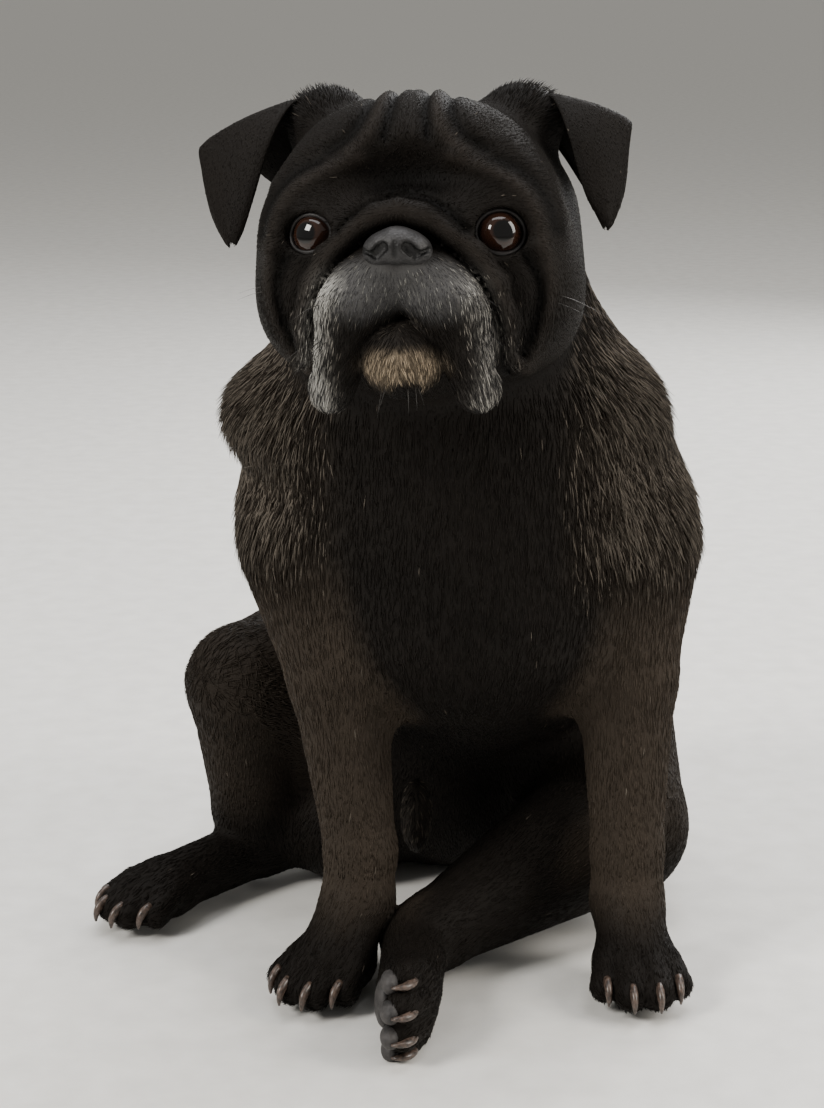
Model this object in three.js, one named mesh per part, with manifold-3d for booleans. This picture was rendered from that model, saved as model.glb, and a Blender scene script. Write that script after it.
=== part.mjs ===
// A black pug that sits upright, life size, in millimetres: +Z up, the face towards -Y, the dog's left at +X.
// The flesh is one smooth body, written as a distance field of eggs and tapering limbs, and parted by thin cuts.
import * as THREE from "three";
import { MarchingCubes } from "three/addons/objects/MarchingCubes.js";
import { mergeVertices } from "three/addons/utils/BufferGeometryUtils.js";
import Module from "manifold-3d";

const wasm = await Module();
wasm.setup();
const { Manifold } = wasm;

// Driving sizes
const GAP = 0.35; // between nodes that touch
const NECK_GAP = 1.2; // the neck is cut by the coarse skull, and clears the finer face too
const LEG_BLEND = 18; // how softly a foreleg runs into the chest
const HAUNCH_BLEND = 14;
const EYE_RADIUS = 11.4;
const CLAW_LENGTH = 11;
const CLAW_RADIUS = 2.3;
const TAIL_TURN_RADIUS = 21;
const EAR_THICKNESS = 3.4;

const vec = (x, y, z) => new THREE.Vector3(x, y, z);

// The turn of a part that faces -Y: yaw to the dog's right, pitch nose up, roll lifts the dog's left.
function turned(yaw, pitch = 0, roll = 0) {
  const [z, x, y] = [-yaw, -pitch, -roll].map(THREE.MathUtils.degToRad);
  const turn = new THREE.Matrix4().makeRotationZ(z);
  turn.multiply(new THREE.Matrix4().makeRotationX(x));
  return turn.multiply(new THREE.Matrix4().makeRotationY(y));
}

// ---- Distance fields: negative inside, in millimetres
function egg(p, c, r) {
  const x = p[0] - c[0];
  const y = p[1] - c[1];
  const z = p[2] - c[2];
  const near = Math.hypot(x / r[0], y / r[1], z / r[2]);
  const steep = Math.hypot(x / r[0] ** 2, y / r[1] ** 2, z / r[2] ** 2);
  return (near * (near - 1)) / Math.max(steep, 1e-9);
}

// A rod from a to b whose radius runs from ra to rb, with round ends.
function limb(p, a, b, ra, rb) {
  const ba = [b[0] - a[0], b[1] - a[1], b[2] - a[2]];
  const pa = [p[0] - a[0], p[1] - a[1], p[2] - a[2]];
  const long2 = ba[0] ** 2 + ba[1] ** 2 + ba[2] ** 2;
  const taper = ra - rb;
  const slope2 = long2 - taper * taper;
  const along = pa[0] * ba[0] + pa[1] * ba[1] + pa[2] * ba[2];
  const past = along - long2;
  let side2 = 0;
  for (let k = 0; k < 3; k++) side2 += (pa[k] * long2 - along * ba[k]) ** 2;
  const along2 = along * along * long2;
  const past2 = past * past * long2;
  const limit = Math.sign(taper) * taper * taper * side2;
  if (Math.sign(past) * slope2 * past2 > limit) return Math.sqrt(side2 + past2) / long2 - rb;
  if (Math.sign(along) * slope2 * along2 < limit) return Math.sqrt(side2 + along2) / long2 - ra;
  return (Math.sqrt((side2 * slope2) / long2) + along * taper) / long2 - ra;
}

function melt(softness, ...fields) {
  return fields.reduce((a, b) => {
    const h = Math.max(softness - Math.abs(a - b), 0) / softness;
    return Math.min(a, b) - h * h * softness * 0.25;
  });
}

// Limbs end to end through stations of [point, radius].
function chain(p, stations, softness = 6) {
  let d = Infinity;
  for (let i = 1; i < stations.length; i++) {
    const [a, ra] = stations[i - 1];
    const [b, rb] = stations[i];
    const piece = limb(p, a, b, ra, rb);
    d = d === Infinity ? piece : melt(softness, d, piece);
  }
  return d;
}

// A place on the body with a turn of its own.
function place(at, turn) {
  const matrix = turn.clone().setPosition(...at);
  const e = turn.elements;
  return {
    matrix,
    local: (p) => {
      const q = [p[0] - at[0], p[1] - at[1], p[2] - at[2]];
      return [0, 4, 8].map((k) => q[0] * e[k] + q[1] * e[k + 1] + q[2] * e[k + 2]);
    },
  };
}

// ---- Trunk and legs
const CHEST = [[0, 88, 188], [88, 80, 84]];
const BARREL = [[2, 134, 168], [94, 80, 92]];
const RUMP = [[-6, 190, 86], [92, 70, 89]];
const BUTTOCK = [[-58, 166, 28], [32, 34, 30]];
const NECK = [[[0, 88, 225], 74], [[-18, 66, 292], 62]];
const RUFF = [[-13, 70, 243], [92, 64, 46]];
const SHOULDERS = [[-5, 84, 207], [94, 68, 44]];

const FORELEG = {
  right: [[[-66, 66, 186], 32], [[-57, 64, 130], 22], [[-48, 52, 56], 15.5], [[-49, 48, 36], 15.5], [[-58, 32, 18], 16]],
  left: [[[62, 66, 186], 32], [[65, 64, 130], 22], [[66, 52, 56], 15.5], [[66, 48, 36], 15.5], [[68, 30, 18], 16]],
};
const HINDLEG = {
  right: [[[-58, 192, 84], 54], [[-103, 140, 104], 27], [[-102, 153, 38], 18], [[-97, 157, 18], 15], [[-138, 114, 15], 14]],
  left: [[[44, 192, 90], 54], [[64, 114, 45], 35], [[-16, 48, 21], 17], [[-24, 42, 19], 15], [[-27, 0, 18], 14]],
};
const ON_ITS_SIDE = new THREE.Matrix4().makeRotationY(Math.PI / 2);
const PAW = {
  forepaw_right: place([-64, 22, 14], turned(30)),
  forepaw_left: place([69, 20, 14], turned(-4)),
  hindpaw_right: place([-147, 104, 14], turned(45)),
  hindpaw_left: place([-27, -20, 18], ON_ITS_SIDE),
};
const TOES = [[-15, -6, 7.9], [-5.5, -14, 8.6], [5.5, -14, 8.6], [15, -6, 7.9]];

function paw(p, name) {
  const q = PAW[name].local(p);
  let d = egg(q, [0, 8, 0], [19, 20, 13]);
  for (const [x, y, r] of TOES) d = melt(3, d, limb(q, [x * 0.8, y + 10, 2], [x, y, -3], r, r - 0.4));
  return d;
}

function trunk(p) {
  const body = [CHEST, BARREL, RUMP].map((shape) => egg(p, ...shape));
  const front = [chain(p, NECK), egg(p, ...RUFF), egg(p, ...SHOULDERS)];
  return melt(12, melt(20, ...body, ...front), egg(p, ...BUTTOCK));
}

function flesh(p) {
  const middle = trunk(p);
  const legs = [
    melt(LEG_BLEND, middle, melt(6, chain(p, FORELEG.right), paw(p, "forepaw_right"))),
    melt(LEG_BLEND, middle, melt(6, chain(p, FORELEG.left), paw(p, "forepaw_left"))),
    melt(HAUNCH_BLEND, middle, melt(6, chain(p, HINDLEG.right), paw(p, "hindpaw_right"))),
    melt(HAUNCH_BLEND, middle, melt(6, chain(p, HINDLEG.left), paw(p, "hindpaw_left"))),
  ];
  return Math.max(Math.min(...legs), -p[2] - 2);
}

// ---- Head, in a frame of its own: origin midway between the eyeballs, face towards -Y
const HEAD = place([-27.5, -18, 327], turned(8, 12, 1.5));
const EYE_AT = [32.5, 0, -1.4];
const EYE_WIDTHS = { left: [9.4, 8.1], right: [8.8, 7] }; // half width and half height of the opening
const EYE_LOOKS = vec(0.36, -0.93, 0.04).normalize().toArray();
const LID_THICKNESS = 2.6;
const ROLL_OVER_NOSE = [
  [[0, -25, 5], 6],
  [[9, -24.5, 2.8], 5.8],
  [[18, -22, -3], 5.6],
  [[27.5, -17, -10.5], 5.2],
  [[34, -12, -20.5], 5.2],
  [[38, -7, -33], 5],
  [[38.5, -3, -46], 4],
];
// Folds and creases of the face seen from the front: (x, z) stations, half width, and height or depth
const FOLDS = [
  [[[17, 26], [25, 23.5], [34, 20], [43, 14], [49, 4], [51, -7]], 3.4, 2.4],
  [[[9, 56], [11, 44], [15, 34], [21, 28.5]], 3, 1.6],
  [[[2, 58], [1.5, 46], [2.5, 34]], 2.8, 1.2],
  [[[51, -7], [53, -20], [49, -37], [42, -50]], 3.6, 2],
];
const CREASES = [
  [[[6, 56], [6.5, 44], [8, 34]], 2, 1.6],
  [[[14, 54], [16, 44], [21, 35], [29, 29.5]], 2, 1.6],
  [[[44, -9], [49, -20], [47, -33], [42, -44]], 2, 1.8],
  [[[0, -1.5], [11, -4], [20, -10.5], [28, -18.5], [32.5, -28], [34.5, -42], [33, -56]], 2, 2.6],
];
const LOWER_LIP = [[0, -12, -47], [16.8, 19, 16]];

const mirrored = (p) => [Math.abs(p[0]), p[1], p[2]];
const along = (a, d, t) => a.map((x, k) => x + d[k] * t);

function lowerJaw(q) {
  const chin = egg(q, ...LOWER_LIP);
  return melt(6, chin, egg(q, [0, 8, -44], [20, 26, 14]));
}

// The distance in the front view from a point to a run of straight lines.
function nearPath(x, z, path) {
  let best = Infinity;
  for (let i = 1; i < path.length; i++) {
    const [[x0, z0], [x1, z1]] = [path[i - 1], path[i]];
    const [dx, dz] = [x1 - x0, z1 - z0];
    const t = THREE.MathUtils.clamp(((x - x0) * dx + (z - z0) * dz) / (dx * dx + dz * dz), 0, 1);
    best = Math.min(best, Math.hypot(x - x0 - t * dx, z - z0 - t * dz));
  }
  return best;
}

function wrinkles([x, y, z]) {
  let height = 0;
  for (const [path, width, rise] of FOLDS) height += rise * Math.exp(-((nearPath(x, z, path) / width) ** 2));
  for (const [path, width, depth] of CREASES) height -= depth * Math.exp(-((nearPath(x, z, path) / width) ** 2));
  return height * (1 - THREE.MathUtils.smoothstep(y, 25, 48));
}

// A prism along the way the eye looks, whose outline is the lids' almond.
function eyeOpening(p) {
  const s = mirrored(p);
  const [wide, high] = p[0] > 0 ? EYE_WIDTHS.left : EYE_WIDTHS.right;
  const looks = vec(...EYE_LOOKS);
  const side = looks.clone().cross(vec(0, 0, 1)).normalize();
  const up = side.clone().cross(looks);
  const q = vec(...s).sub(vec(...EYE_AT));
  const almond = (Math.hypot(q.dot(side) / wide, q.dot(up) / high) - 1) * 7.5;
  return Math.max(almond, 3 - q.dot(looks));
}

function headFlesh(q) {
  const s = mirrored(q);
  const skull = egg(q, [0, 50, 8], [62, 59, 49]);
  const forehead = egg(q, [0, 16, 26], [46, 27, 28]);
  const earBase = egg(s, [37, 47, 46], [19, 18, 17.5]);
  const orbit = egg(s, [34, 10, 2], [25, 21, 24]);
  const cheek = egg(s, [36, 35, -21], [29, 39, 32]);
  const throat = egg(q, [0, 22, -40], [34, 35, 23]);
  let d = melt(8, melt(16, skull, forehead, orbit, cheek, throat), earBase);
  const hollow = egg(q, [0, -13, 20.5], [20, 9.5, 7.5]);
  d = -melt(9, -d, hollow);
  const bridge = egg(q, [0, -4, -2], [31, 19, 16]);
  const muzzle = egg(q, [0, -11, -17], [31, 22, 16]);
  const pad = egg(s, [17, -14, -27], [17.5, 19, 13]);
  const flew = limb(s, [19.5, -15.5, -33], [27, -9, -58], 13.3, 10);
  d = melt(7, d, bridge, melt(7, muzzle, pad, flew));
  d = melt(4, d, chain(s, ROLL_OVER_NOSE, 3));
  d -= wrinkles(s);
  d = melt(3, d, egg(s, EYE_AT, Array(3).fill(EYE_RADIUS + LID_THICKNESS)));
  d = Math.max(d, -eyeOpening(q));
  const philtrum = limb(s, [0, -33.8, -15], [0, -34.4, -33], 1.3, 1.8);
  return Math.max(d, -philtrum);
}
const head = (p) => headFlesh(HEAD.local(p));
const jaw = (p) => lowerJaw(HEAD.local(p));

const NOSE_AT = [0, -27, -8];
function nose(p) {
  const q = HEAD.local(p);
  const s = mirrored(q);
  const pad = egg(q, NOSE_AT, [9.3, 8.5, 7.4]);
  const wing = egg(s, [7, -27, -9.5], [5.6, 6.8, 5.6]);
  const nostril = limb(s, [4.6, -35, -9], [7.6, -33.5, -11.5], 2, 1.7);
  return Math.max(melt(3, pad, wing), -nostril);
}

// ---- Tail: a tight curl carried over the rump
const TAIL_AT = [14, 247, 118];
const TAIL = [];
for (let i = 0; i <= 14; i++) {
  const turn = 3.6 - 0.56 * i;
  const r = TAIL_TURN_RADIUS * (1 - 0.05 * i);
  const [x, y, z] = TAIL_AT;
  TAIL.push([[x + r * Math.cos(turn), y + 0.9 * i, z + r * Math.sin(turn)], 11.5 - 0.45 * i]);
}
const tail = (p) => chain(p, TAIL, 2);

// ---- Meshing
// Stops turn even steps of the grid into places in millimetres, closer together where the form is fine.
const even = (low, high) => [[0, low], [1, high]];
function warp(stops, t) {
  let i = 1;
  while (i < stops.length - 1 && t > stops[i][0]) i++;
  const [[t0, a], [t1, b]] = [stops[i - 1], stops[i]];
  return a + ((t - t0) / (t1 - t0)) * (b - a);
}

function slope(field, p, step = 0.2) {
  return [0, 1, 2].map((k) => {
    const a = [...p];
    const b = [...p];
    a[k] -= step;
    b[k] += step;
    return (field(b) - field(a)) / (2 * step);
  });
}

const SMOOTHING_ROUNDS = 3;
const SNAP = 0.24; // share of a grid step within which a corner moves to the grid, so that no sliver is left

// The closed surface where a field is zero, over a grid, evened out and set back on the field.
function surface(field, steps, stops) {
  const cubes = new MarchingCubes(steps, new THREE.MeshStandardMaterial(), false, false, 60000);
  cubes.isolation = 0;
  const half = steps / 2;
  const share = (i) => (i - 2) / (steps - 5);
  const spot = stops.map((s) => Array.from({ length: steps }, (_, i) => warp(s, share(i))));
  for (let z = 0; z < steps; z++)
    for (let y = 0; y < steps; y++)
      for (let x = 0; x < steps; x++) {
        const edge = Math.min(x, y, z) < 2 || Math.max(x, y, z) > steps - 3;
        const p = [spot[0][x], spot[1][y], spot[2][z]];
        cubes.field[x + y * steps + z * steps * steps] = edge ? -1 : -field(p) || -1e-6;
      }
  cubes.update();
  const at = [];
  const known = new Map();
  const corners = [];
  for (let i = 0; i < cubes.count; i++) {
    const spots = [0, 1, 2].map((k) => {
      const value = cubes.positionArray[i * 3 + k] * half + half;
      const whole = Math.round(value);
      return Math.abs(value - whole) < SNAP ? whole : value;
    });
    const key = spots.map((value) => value.toFixed(3)).join();
    if (!known.has(key)) {
      known.set(key, at.length);
      at.push(spots.map((value, k) => warp(stops[k], share(value))));
    }
    corners.push(known.get(key));
  }
  const faces = [];
  const near = at.map(() => new Set());
  for (let i = 0; i < corners.length; i += 3) {
    const [a, b, c] = corners.slice(i, i + 3);
    if (a === b || b === c || a === c) continue;
    faces.push(a, b, c);
    for (const [m, n] of [[a, b], [b, c], [c, a]]) {
      near[m].add(n);
      near[n].add(m);
    }
  }
  for (let round = 0; round < SMOOTHING_ROUNDS; round++) {
    const mean = at.map((p, i) => {
      const sum = [0, 0, 0];
      for (const n of near[i]) for (let k = 0; k < 3; k++) sum[k] += at[n][k] / near[i].size;
      return sum.map((m, k) => p[k] * 0.4 + m * 0.6);
    });
    mean.forEach((p, i) => {
      const g = slope(field, p);
      const steep = Math.max(g[0] ** 2 + g[1] ** 2 + g[2] ** 2, 0.1);
      const move = THREE.MathUtils.clamp(field(p) / steep, -2, 2);
      at[i] = p.map((x, k) => x - g[k] * move);
    });
  }
  const g = new THREE.BufferGeometry();
  g.setAttribute("position", new THREE.BufferAttribute(new Float32Array(at.flat()), 3));
  g.setIndex(faces);
  return g;
}

// ---- Solids
function solid(geometry, matrix = new THREE.Matrix4()) {
  const bare = (geometry.index ? geometry.toNonIndexed() : geometry.clone()).applyMatrix4(matrix);
  for (const name of ["normal", "uv"]) bare.deleteAttribute(name);
  const merged = mergeVertices(bare, 1e-4);
  let triVerts = new Uint32Array(merged.index.array);
  const make = () =>
    new Manifold(new wasm.Mesh({ numProp: 3, vertProperties: merged.attributes.position.array, triVerts }));
  const made = make();
  if (made.volume() > 0) return made;
  triVerts = triVerts.reverse();
  return make();
}
const largest = (made) => made.decompose().sort((a, b) => b.volume() - a.volume())[0];

// The same surface, moved out along its corners' normals by the gap.
function swollen(geometry, by = GAP) {
  const g = geometry.clone();
  g.computeVertexNormals();
  const { position, normal } = g.attributes;
  const sign = solid(geometry).volume() > 0 ? 1 : -1;
  for (let i = 0; i < position.count; i++)
    position.setXYZ(
      i,
      position.getX(i) + sign * by * normal.getX(i),
      position.getY(i) + sign * by * normal.getY(i),
      position.getZ(i) + sign * by * normal.getZ(i),
    );
  return solid(g);
}

// An egg that cuts, its long axis along the way from a to b.
function cutter(a, b, width, depth = width, more = 0, swell = 0) {
  const from = vec(...a);
  const to = vec(...b);
  const way = to.clone().sub(from);
  const half = way.length() / 2 + more + swell;
  const quaternion = new THREE.Quaternion().setFromUnitVectors(vec(0, 0, 1), way.normalize());
  const scale = vec(width + swell, depth + swell, half);
  const matrix = new THREE.Matrix4().compose(from.add(to).multiplyScalar(0.5), quaternion, scale);
  return solid(new THREE.SphereGeometry(1, 20, 12), matrix);
}
function block(low, high, tilt = 0, swell = 0) {
  const size = high.map((h, k) => h - low[k] + 2 * swell);
  const middle = high.map((h, k) => (h + low[k]) / 2);
  const matrix = new THREE.Matrix4().makeRotationX(THREE.MathUtils.degToRad(tilt)).setPosition(...middle);
  return solid(new THREE.BoxGeometry(...size), matrix);
}

// ---- Claws and pads, fused to each paw
function claw(toe) {
  const [x, y] = toe;
  const curve = new THREE.QuadraticBezierCurve3(vec(x, y - 3, 1), vec(x, y - 11, 0), vec(x, y - CLAW_LENGTH, -8));
  const rings = [];
  const points = curve.getPoints(2);
  points.forEach((point, i) => {
    const r = CLAW_RADIUS * (1 - 0.38 * i);
    rings.push(solid(new THREE.SphereGeometry(r, 6, 4), new THREE.Matrix4().setPosition(point)));
  });
  return rings.slice(1).map((ring, i) => Manifold.hull([rings[i], ring]));
}

const materials = {
  coat: { color: 0x1b1917, roughness: 0.62, metalness: 0 },
  nose: { color: 0x2b2a2b, roughness: 0.55, metalness: 0 },
  eye: { color: 0x1d0f08, roughness: 0.05, metalness: 0 },
};
const group = new THREE.Group();
function node(name, made, look = "coat") {
  const { vertProperties, triVerts } = largest(made).getMesh();
  const g = new THREE.BufferGeometry();
  g.setAttribute("position", new THREE.BufferAttribute(new Float32Array(vertProperties), 3));
  g.setIndex(new THREE.BufferAttribute(new Uint32Array(triVerts), 1));
  const mesh = new THREE.Mesh(g, new THREE.MeshStandardMaterial(materials[look]));
  mesh.name = name;
  group.add(mesh);
  return mesh;
}

// ---- Build
const FLOOR = block([-400, -400, -60], [400, 400, 0]);
const TRUNK_STEPS = 21;
const PAW_STEPS = 12;
const SKULL_STEPS = 19;
const FACE_STEPS = 28;
const FACE_BACK = 16; // where the face ends, behind the eyes
let rest = solid(surface(flesh, TRUNK_STEPS, [even(-150, 130), even(-10, 275), even(-6, 345)])).subtract(FLOOR);

for (const [name, spot] of Object.entries(PAW)) {
  const reach = 34;
  const at = vec(0, 0, 0).applyMatrix4(spot.matrix).toArray();
  const stops = at.map((c, k) => even(Math.max(c - reach, k === 2 ? -6 : -999), c + reach));
  const near = solid(surface(flesh, PAW_STEPS, stops));
  const heel = vec(0, 26, 6).applyMatrix4(spot.matrix).toArray();
  const toe = vec(0, -26, -2).applyMatrix4(spot.matrix).toArray();
  const cut = (swell) => cutter(heel, toe, 27, 27, 0, swell);
  let made = near.intersect(cut(0));
  const claws = TOES.flatMap((t) => claw(t)).map((c) => c.transform(spot.matrix.elements));
  made = Manifold.union([made, ...claws]);
  node(name, made.subtract(FLOOR));
  rest = rest.subtract(cut(GAP)).subtract(Manifold.union(claws));
}

const CUTS = {
  foot_right: [[-90, 166, 16], [-136, 118, 12], 24, 24, 6],
  foot_left: [[-24, 52, 19], [-28, 2, 18], 23, 23, 4],
  shank_right: [[-103, 150, 2], [-104, 146, 74], 30, 30, 6],
  shank_left: [[-26, 42, 18], [52, 96, 34], 34, 34, 10],
  thigh_right: [[-60, 226, 60], [-112, 128, 104], 62, 62, 22],
  thigh_left: [[58, 232, 56], [84, 100, 52], 62, 58, 22],
  foreleg_right: [[-86, 66, 214], [-52, 44, 14], 40, 40, 8],
  foreleg_left: [[82, 68, 214], [68, 42, 14], 38, 38, 8],
};
// The head is marched twice: coarse for the skull, and fine for the face in front of the ears.
const headShape = surface(head, SKULL_STEPS, [even(-112, 66), even(-72, 104), even(248, 394)]);
const faceShape = surface(head, FACE_STEPS, [even(-100, 46), even(-68, 46), even(252, 394)]);
const skull = solid(headShape);
const faceBlock = (swell) => {
  const size = [160, 100 + swell, 180];
  const matrix = HEAD.matrix.clone().multiply(new THREE.Matrix4().setPosition(0, FACE_BACK - 50 + swell / 2, 0));
  return solid(new THREE.BoxGeometry(...size), matrix);
};
const face = solid(faceShape).intersect(faceBlock(0));
const noseShape = surface(nose, 14, [even(-52, -10), even(-68, -36), even(312, 342)]);
const jawShape = surface(jaw, 14, [even(-62, 2), even(-66, 32), even(258, 312)]);
rest = rest.subtract(swollen(headShape, NECK_GAP)).subtract(swollen(jawShape));
for (const [name, cut] of Object.entries(CUTS)) {
  node(name, rest.intersect(cutter(...cut)));
  rest = rest.subtract(cutter(...cut, GAP));
}
const tailSolid = solid(surface(tail, 17, [even(-24, 52), even(228, 276), even(82, 154)]));
rest = rest.subtract(swollen(surface(tail, 17, [even(-24, 52), even(228, 276), even(82, 154)])));
const collar = [[-140, -60, 232], [120, 260, 460]];
node("neck", rest.intersect(block(...collar, 14)));
node("torso", rest.subtract(block(...collar, 14, GAP)));
node("tail", tailSolid);

// ---- Eyes, nose and ears on the head
let faceSolid = face.subtract(swollen(noseShape)).subtract(swollen(jawShape));
for (const [side, sign] of [["left", 1], ["right", -1]]) {
  const at = vec(EYE_AT[0] * sign, EYE_AT[1], EYE_AT[2]).applyMatrix4(HEAD.matrix);
  const ball = (r) => solid(new THREE.SphereGeometry(r, 14, 9), new THREE.Matrix4().setPosition(at));
  node("eye_" + side, ball(EYE_RADIUS - GAP), "eye");
  faceSolid = faceSolid.subtract(ball(EYE_RADIUS));
}
node("nose", solid(noseShape), "nose");
node("lower_jaw", solid(jawShape));

// An ear is a folded leaf: rows from its root to its tip, each from the inner to the outer edge.
const earRows = (lift) => [
  [[38, 52, 52], [60, 60, 24]],
  [[44, 46, 57], [76, 56, 36 + lift * 0.4]],
  [[51, 36, 53], [88 - lift, 45, 39 + lift * 0.8]],
  [[57, 28, 39], [86.5 - lift * 0.9, 39, 28 + lift * 0.8]],
  [[63, 26, 18], [82 - lift * 0.5, 34, 12 + lift * 0.8]],
  [[68.5, 27, 1 + lift * 0.6], [75 - lift * 0.3, 29, -1 + lift * 0.6]],
];
const EAR_SPAN = 5;
const EAR_LENGTH = 8;
const EAR_CUP = 3;
function leaf(sign, lift) {
  const edges = [0, 1].map((k) => new THREE.CatmullRomCurve3(earRows(lift).map((row) => vec(...row[k]))));
  const point = (u, w) => {
    const [a, b] = edges.map((edge) => edge.getPoint(w));
    const bow = Math.sin(Math.PI * u) * EAR_CUP;
    const p = a.lerp(b, u).add(vec(0.5, -0.35, 0.6).multiplyScalar(bow));
    return p;
  };
  const face = (u, w, half) => {
    const e = 0.01;
    const du = point(Math.min(u + e, 1), w).sub(point(Math.max(u - e, 0), w));
    const dw = point(u, Math.min(w + e, 1)).sub(point(u, Math.max(w - e, 0)));
    const out = du.cross(dw).normalize();
    const thin = half * Math.sqrt(Math.max(1 - (2 * u - 1) ** 4, 0.12));
    const p = point(u, w).addScaledVector(out, thin);
    return [p.x * sign, p.y, p.z];
  };
  const positions = [];
  const index = [];
  const row = EAR_SPAN + 1;
  for (const half of [-EAR_THICKNESS / 2, EAR_THICKNESS / 2])
    for (let j = 0; j <= EAR_LENGTH; j++)
      for (let i = 0; i <= EAR_SPAN; i++) positions.push(...face(i / EAR_SPAN, j / EAR_LENGTH, half));
  const back = row * (EAR_LENGTH + 1);
  const quad = (a, b, c, d) => index.push(a, b, c, a, c, d);
  for (let j = 0; j < EAR_LENGTH; j++)
    for (let i = 0; i < EAR_SPAN; i++) {
      const a = j * row + i;
      quad(a, a + 1, a + row + 1, a + row);
      quad(back + a, back + a + row, back + a + row + 1, back + a + 1);
    }
  for (let j = 0; j < EAR_LENGTH; j++) {
    const a = j * row;
    const b = a + EAR_SPAN;
    quad(a, a + row, back + a + row, back + a);
    quad(b, back + b, back + b + row, b + row);
  }
  for (let i = 0; i < EAR_SPAN; i++) {
    const b = EAR_LENGTH * row + i;
    quad(i, back + i, back + i + 1, i + 1);
    quad(b, b + 1, back + b + 1, back + b);
  }
  const g = new THREE.BufferGeometry();
  g.setAttribute("position", new THREE.BufferAttribute(new Float32Array(positions), 3));
  g.setIndex(index);
  return solid(g, HEAD.matrix);
}
for (const [side, sign, lift] of [["left", 1, 8], ["right", -1, 0]])
  node("ear_" + side, leaf(sign, lift).subtract(swollen(headShape)).subtract(swollen(faceShape)));
node("face", faceSolid);
node("head", skull.subtract(faceBlock(GAP)).subtract(swollen(jawShape)));

const box = new THREE.Box3().setFromObject(group);
const middle = box.getCenter(vec(0, 0, 0));
group.position.set(-middle.x, -middle.y, -box.min.z);
export default group;
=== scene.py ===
# A black pug that sits upright, life size: one skin under a short coat, with eyes, nose, claws and pads.
import math

import bpy
import numpy as np
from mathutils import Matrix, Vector


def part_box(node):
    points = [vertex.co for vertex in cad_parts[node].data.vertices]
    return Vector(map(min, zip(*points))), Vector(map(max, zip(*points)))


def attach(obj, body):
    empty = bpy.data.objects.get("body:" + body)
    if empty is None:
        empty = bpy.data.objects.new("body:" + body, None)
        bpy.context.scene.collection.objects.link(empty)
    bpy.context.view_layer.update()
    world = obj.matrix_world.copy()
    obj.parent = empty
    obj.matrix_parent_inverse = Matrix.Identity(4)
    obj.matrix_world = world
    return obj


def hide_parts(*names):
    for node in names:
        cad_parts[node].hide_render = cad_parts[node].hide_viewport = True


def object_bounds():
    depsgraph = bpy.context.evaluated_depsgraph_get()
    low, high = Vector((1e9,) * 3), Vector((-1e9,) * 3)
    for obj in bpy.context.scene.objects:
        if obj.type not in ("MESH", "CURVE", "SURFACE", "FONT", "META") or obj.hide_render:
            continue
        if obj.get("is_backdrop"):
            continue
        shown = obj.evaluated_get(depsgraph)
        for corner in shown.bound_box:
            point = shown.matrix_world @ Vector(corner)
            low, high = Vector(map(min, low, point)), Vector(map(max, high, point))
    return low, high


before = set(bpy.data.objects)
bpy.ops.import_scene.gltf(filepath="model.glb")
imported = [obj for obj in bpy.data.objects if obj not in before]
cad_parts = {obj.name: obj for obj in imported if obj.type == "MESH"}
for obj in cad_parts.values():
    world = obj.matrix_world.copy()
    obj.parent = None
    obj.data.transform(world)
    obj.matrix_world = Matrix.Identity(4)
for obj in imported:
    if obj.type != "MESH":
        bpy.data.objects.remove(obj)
cad_low, cad_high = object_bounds()
rng = np.random.default_rng(7)

# Sizes and places are in millimetres, in the dog's own frame: x = 0 down the breast,
# y = 0 at the fore toes and z = 0 on the floor.
MM = 0.001
EYE_RADIUS = 11.0
HEAD_AT = np.array([-27.5, -18.0, 327.0])
EYE_AT = np.array([32.5, 0.0, -1.4])
EYE_LOOKS = np.array([0.36, -0.93, 0.04]) / np.linalg.norm([0.36, -0.93, 0.04])
NOSE_AT = (0, -27, -9)


def turned(yaw=0.0, pitch=0.0, roll=0.0):
    """The axes, as columns, of a part that faces -y.

    Yaw turns it to the dog's right, pitch lifts its nose and roll lifts the dog's left.
    """
    z, x, y = (-math.radians(angle) for angle in (yaw, pitch, roll))
    about_z = np.array([[math.cos(z), -math.sin(z), 0], [math.sin(z), math.cos(z), 0], [0, 0, 1]])
    about_x = np.array([[1, 0, 0], [0, math.cos(x), -math.sin(x)], [0, math.sin(x), math.cos(x)]])
    about_y = np.array([[math.cos(y), 0, math.sin(y)], [0, 1, 0], [-math.sin(y), 0, math.cos(y)]])
    return about_z @ about_x @ about_y


HEAD_TURN = turned(8, 12, 1.5)


def box_middle(node):
    """The middle of a CAD node, in millimetres."""
    low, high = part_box(node)
    return (np.array(low) + np.array(high)) / 2 / MM


def on_dog(local):
    """A place of the head's own frame, in the dog's frame."""
    return HEAD_AT + np.asarray(local, float) @ HEAD_TURN.T


def in_head(p):
    """Places of the dog's frame, in the head's own frame."""
    return (p - HEAD_AT) @ HEAD_TURN


SHIFT = box_middle("eye_left") - on_dog(EYE_AT)


# Distance fields: negative inside, in millimetres
def egg(p, centre, radii):
    """A rounded mass with three radii."""
    q = p - np.array(centre, float)
    r = np.array(radii, float)
    near = np.sqrt(((q / r) ** 2).sum(-1))
    steep = np.sqrt(((q / (r * r)) ** 2).sum(-1))
    return near * (near - 1) / np.maximum(steep, 1e-9)


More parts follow.
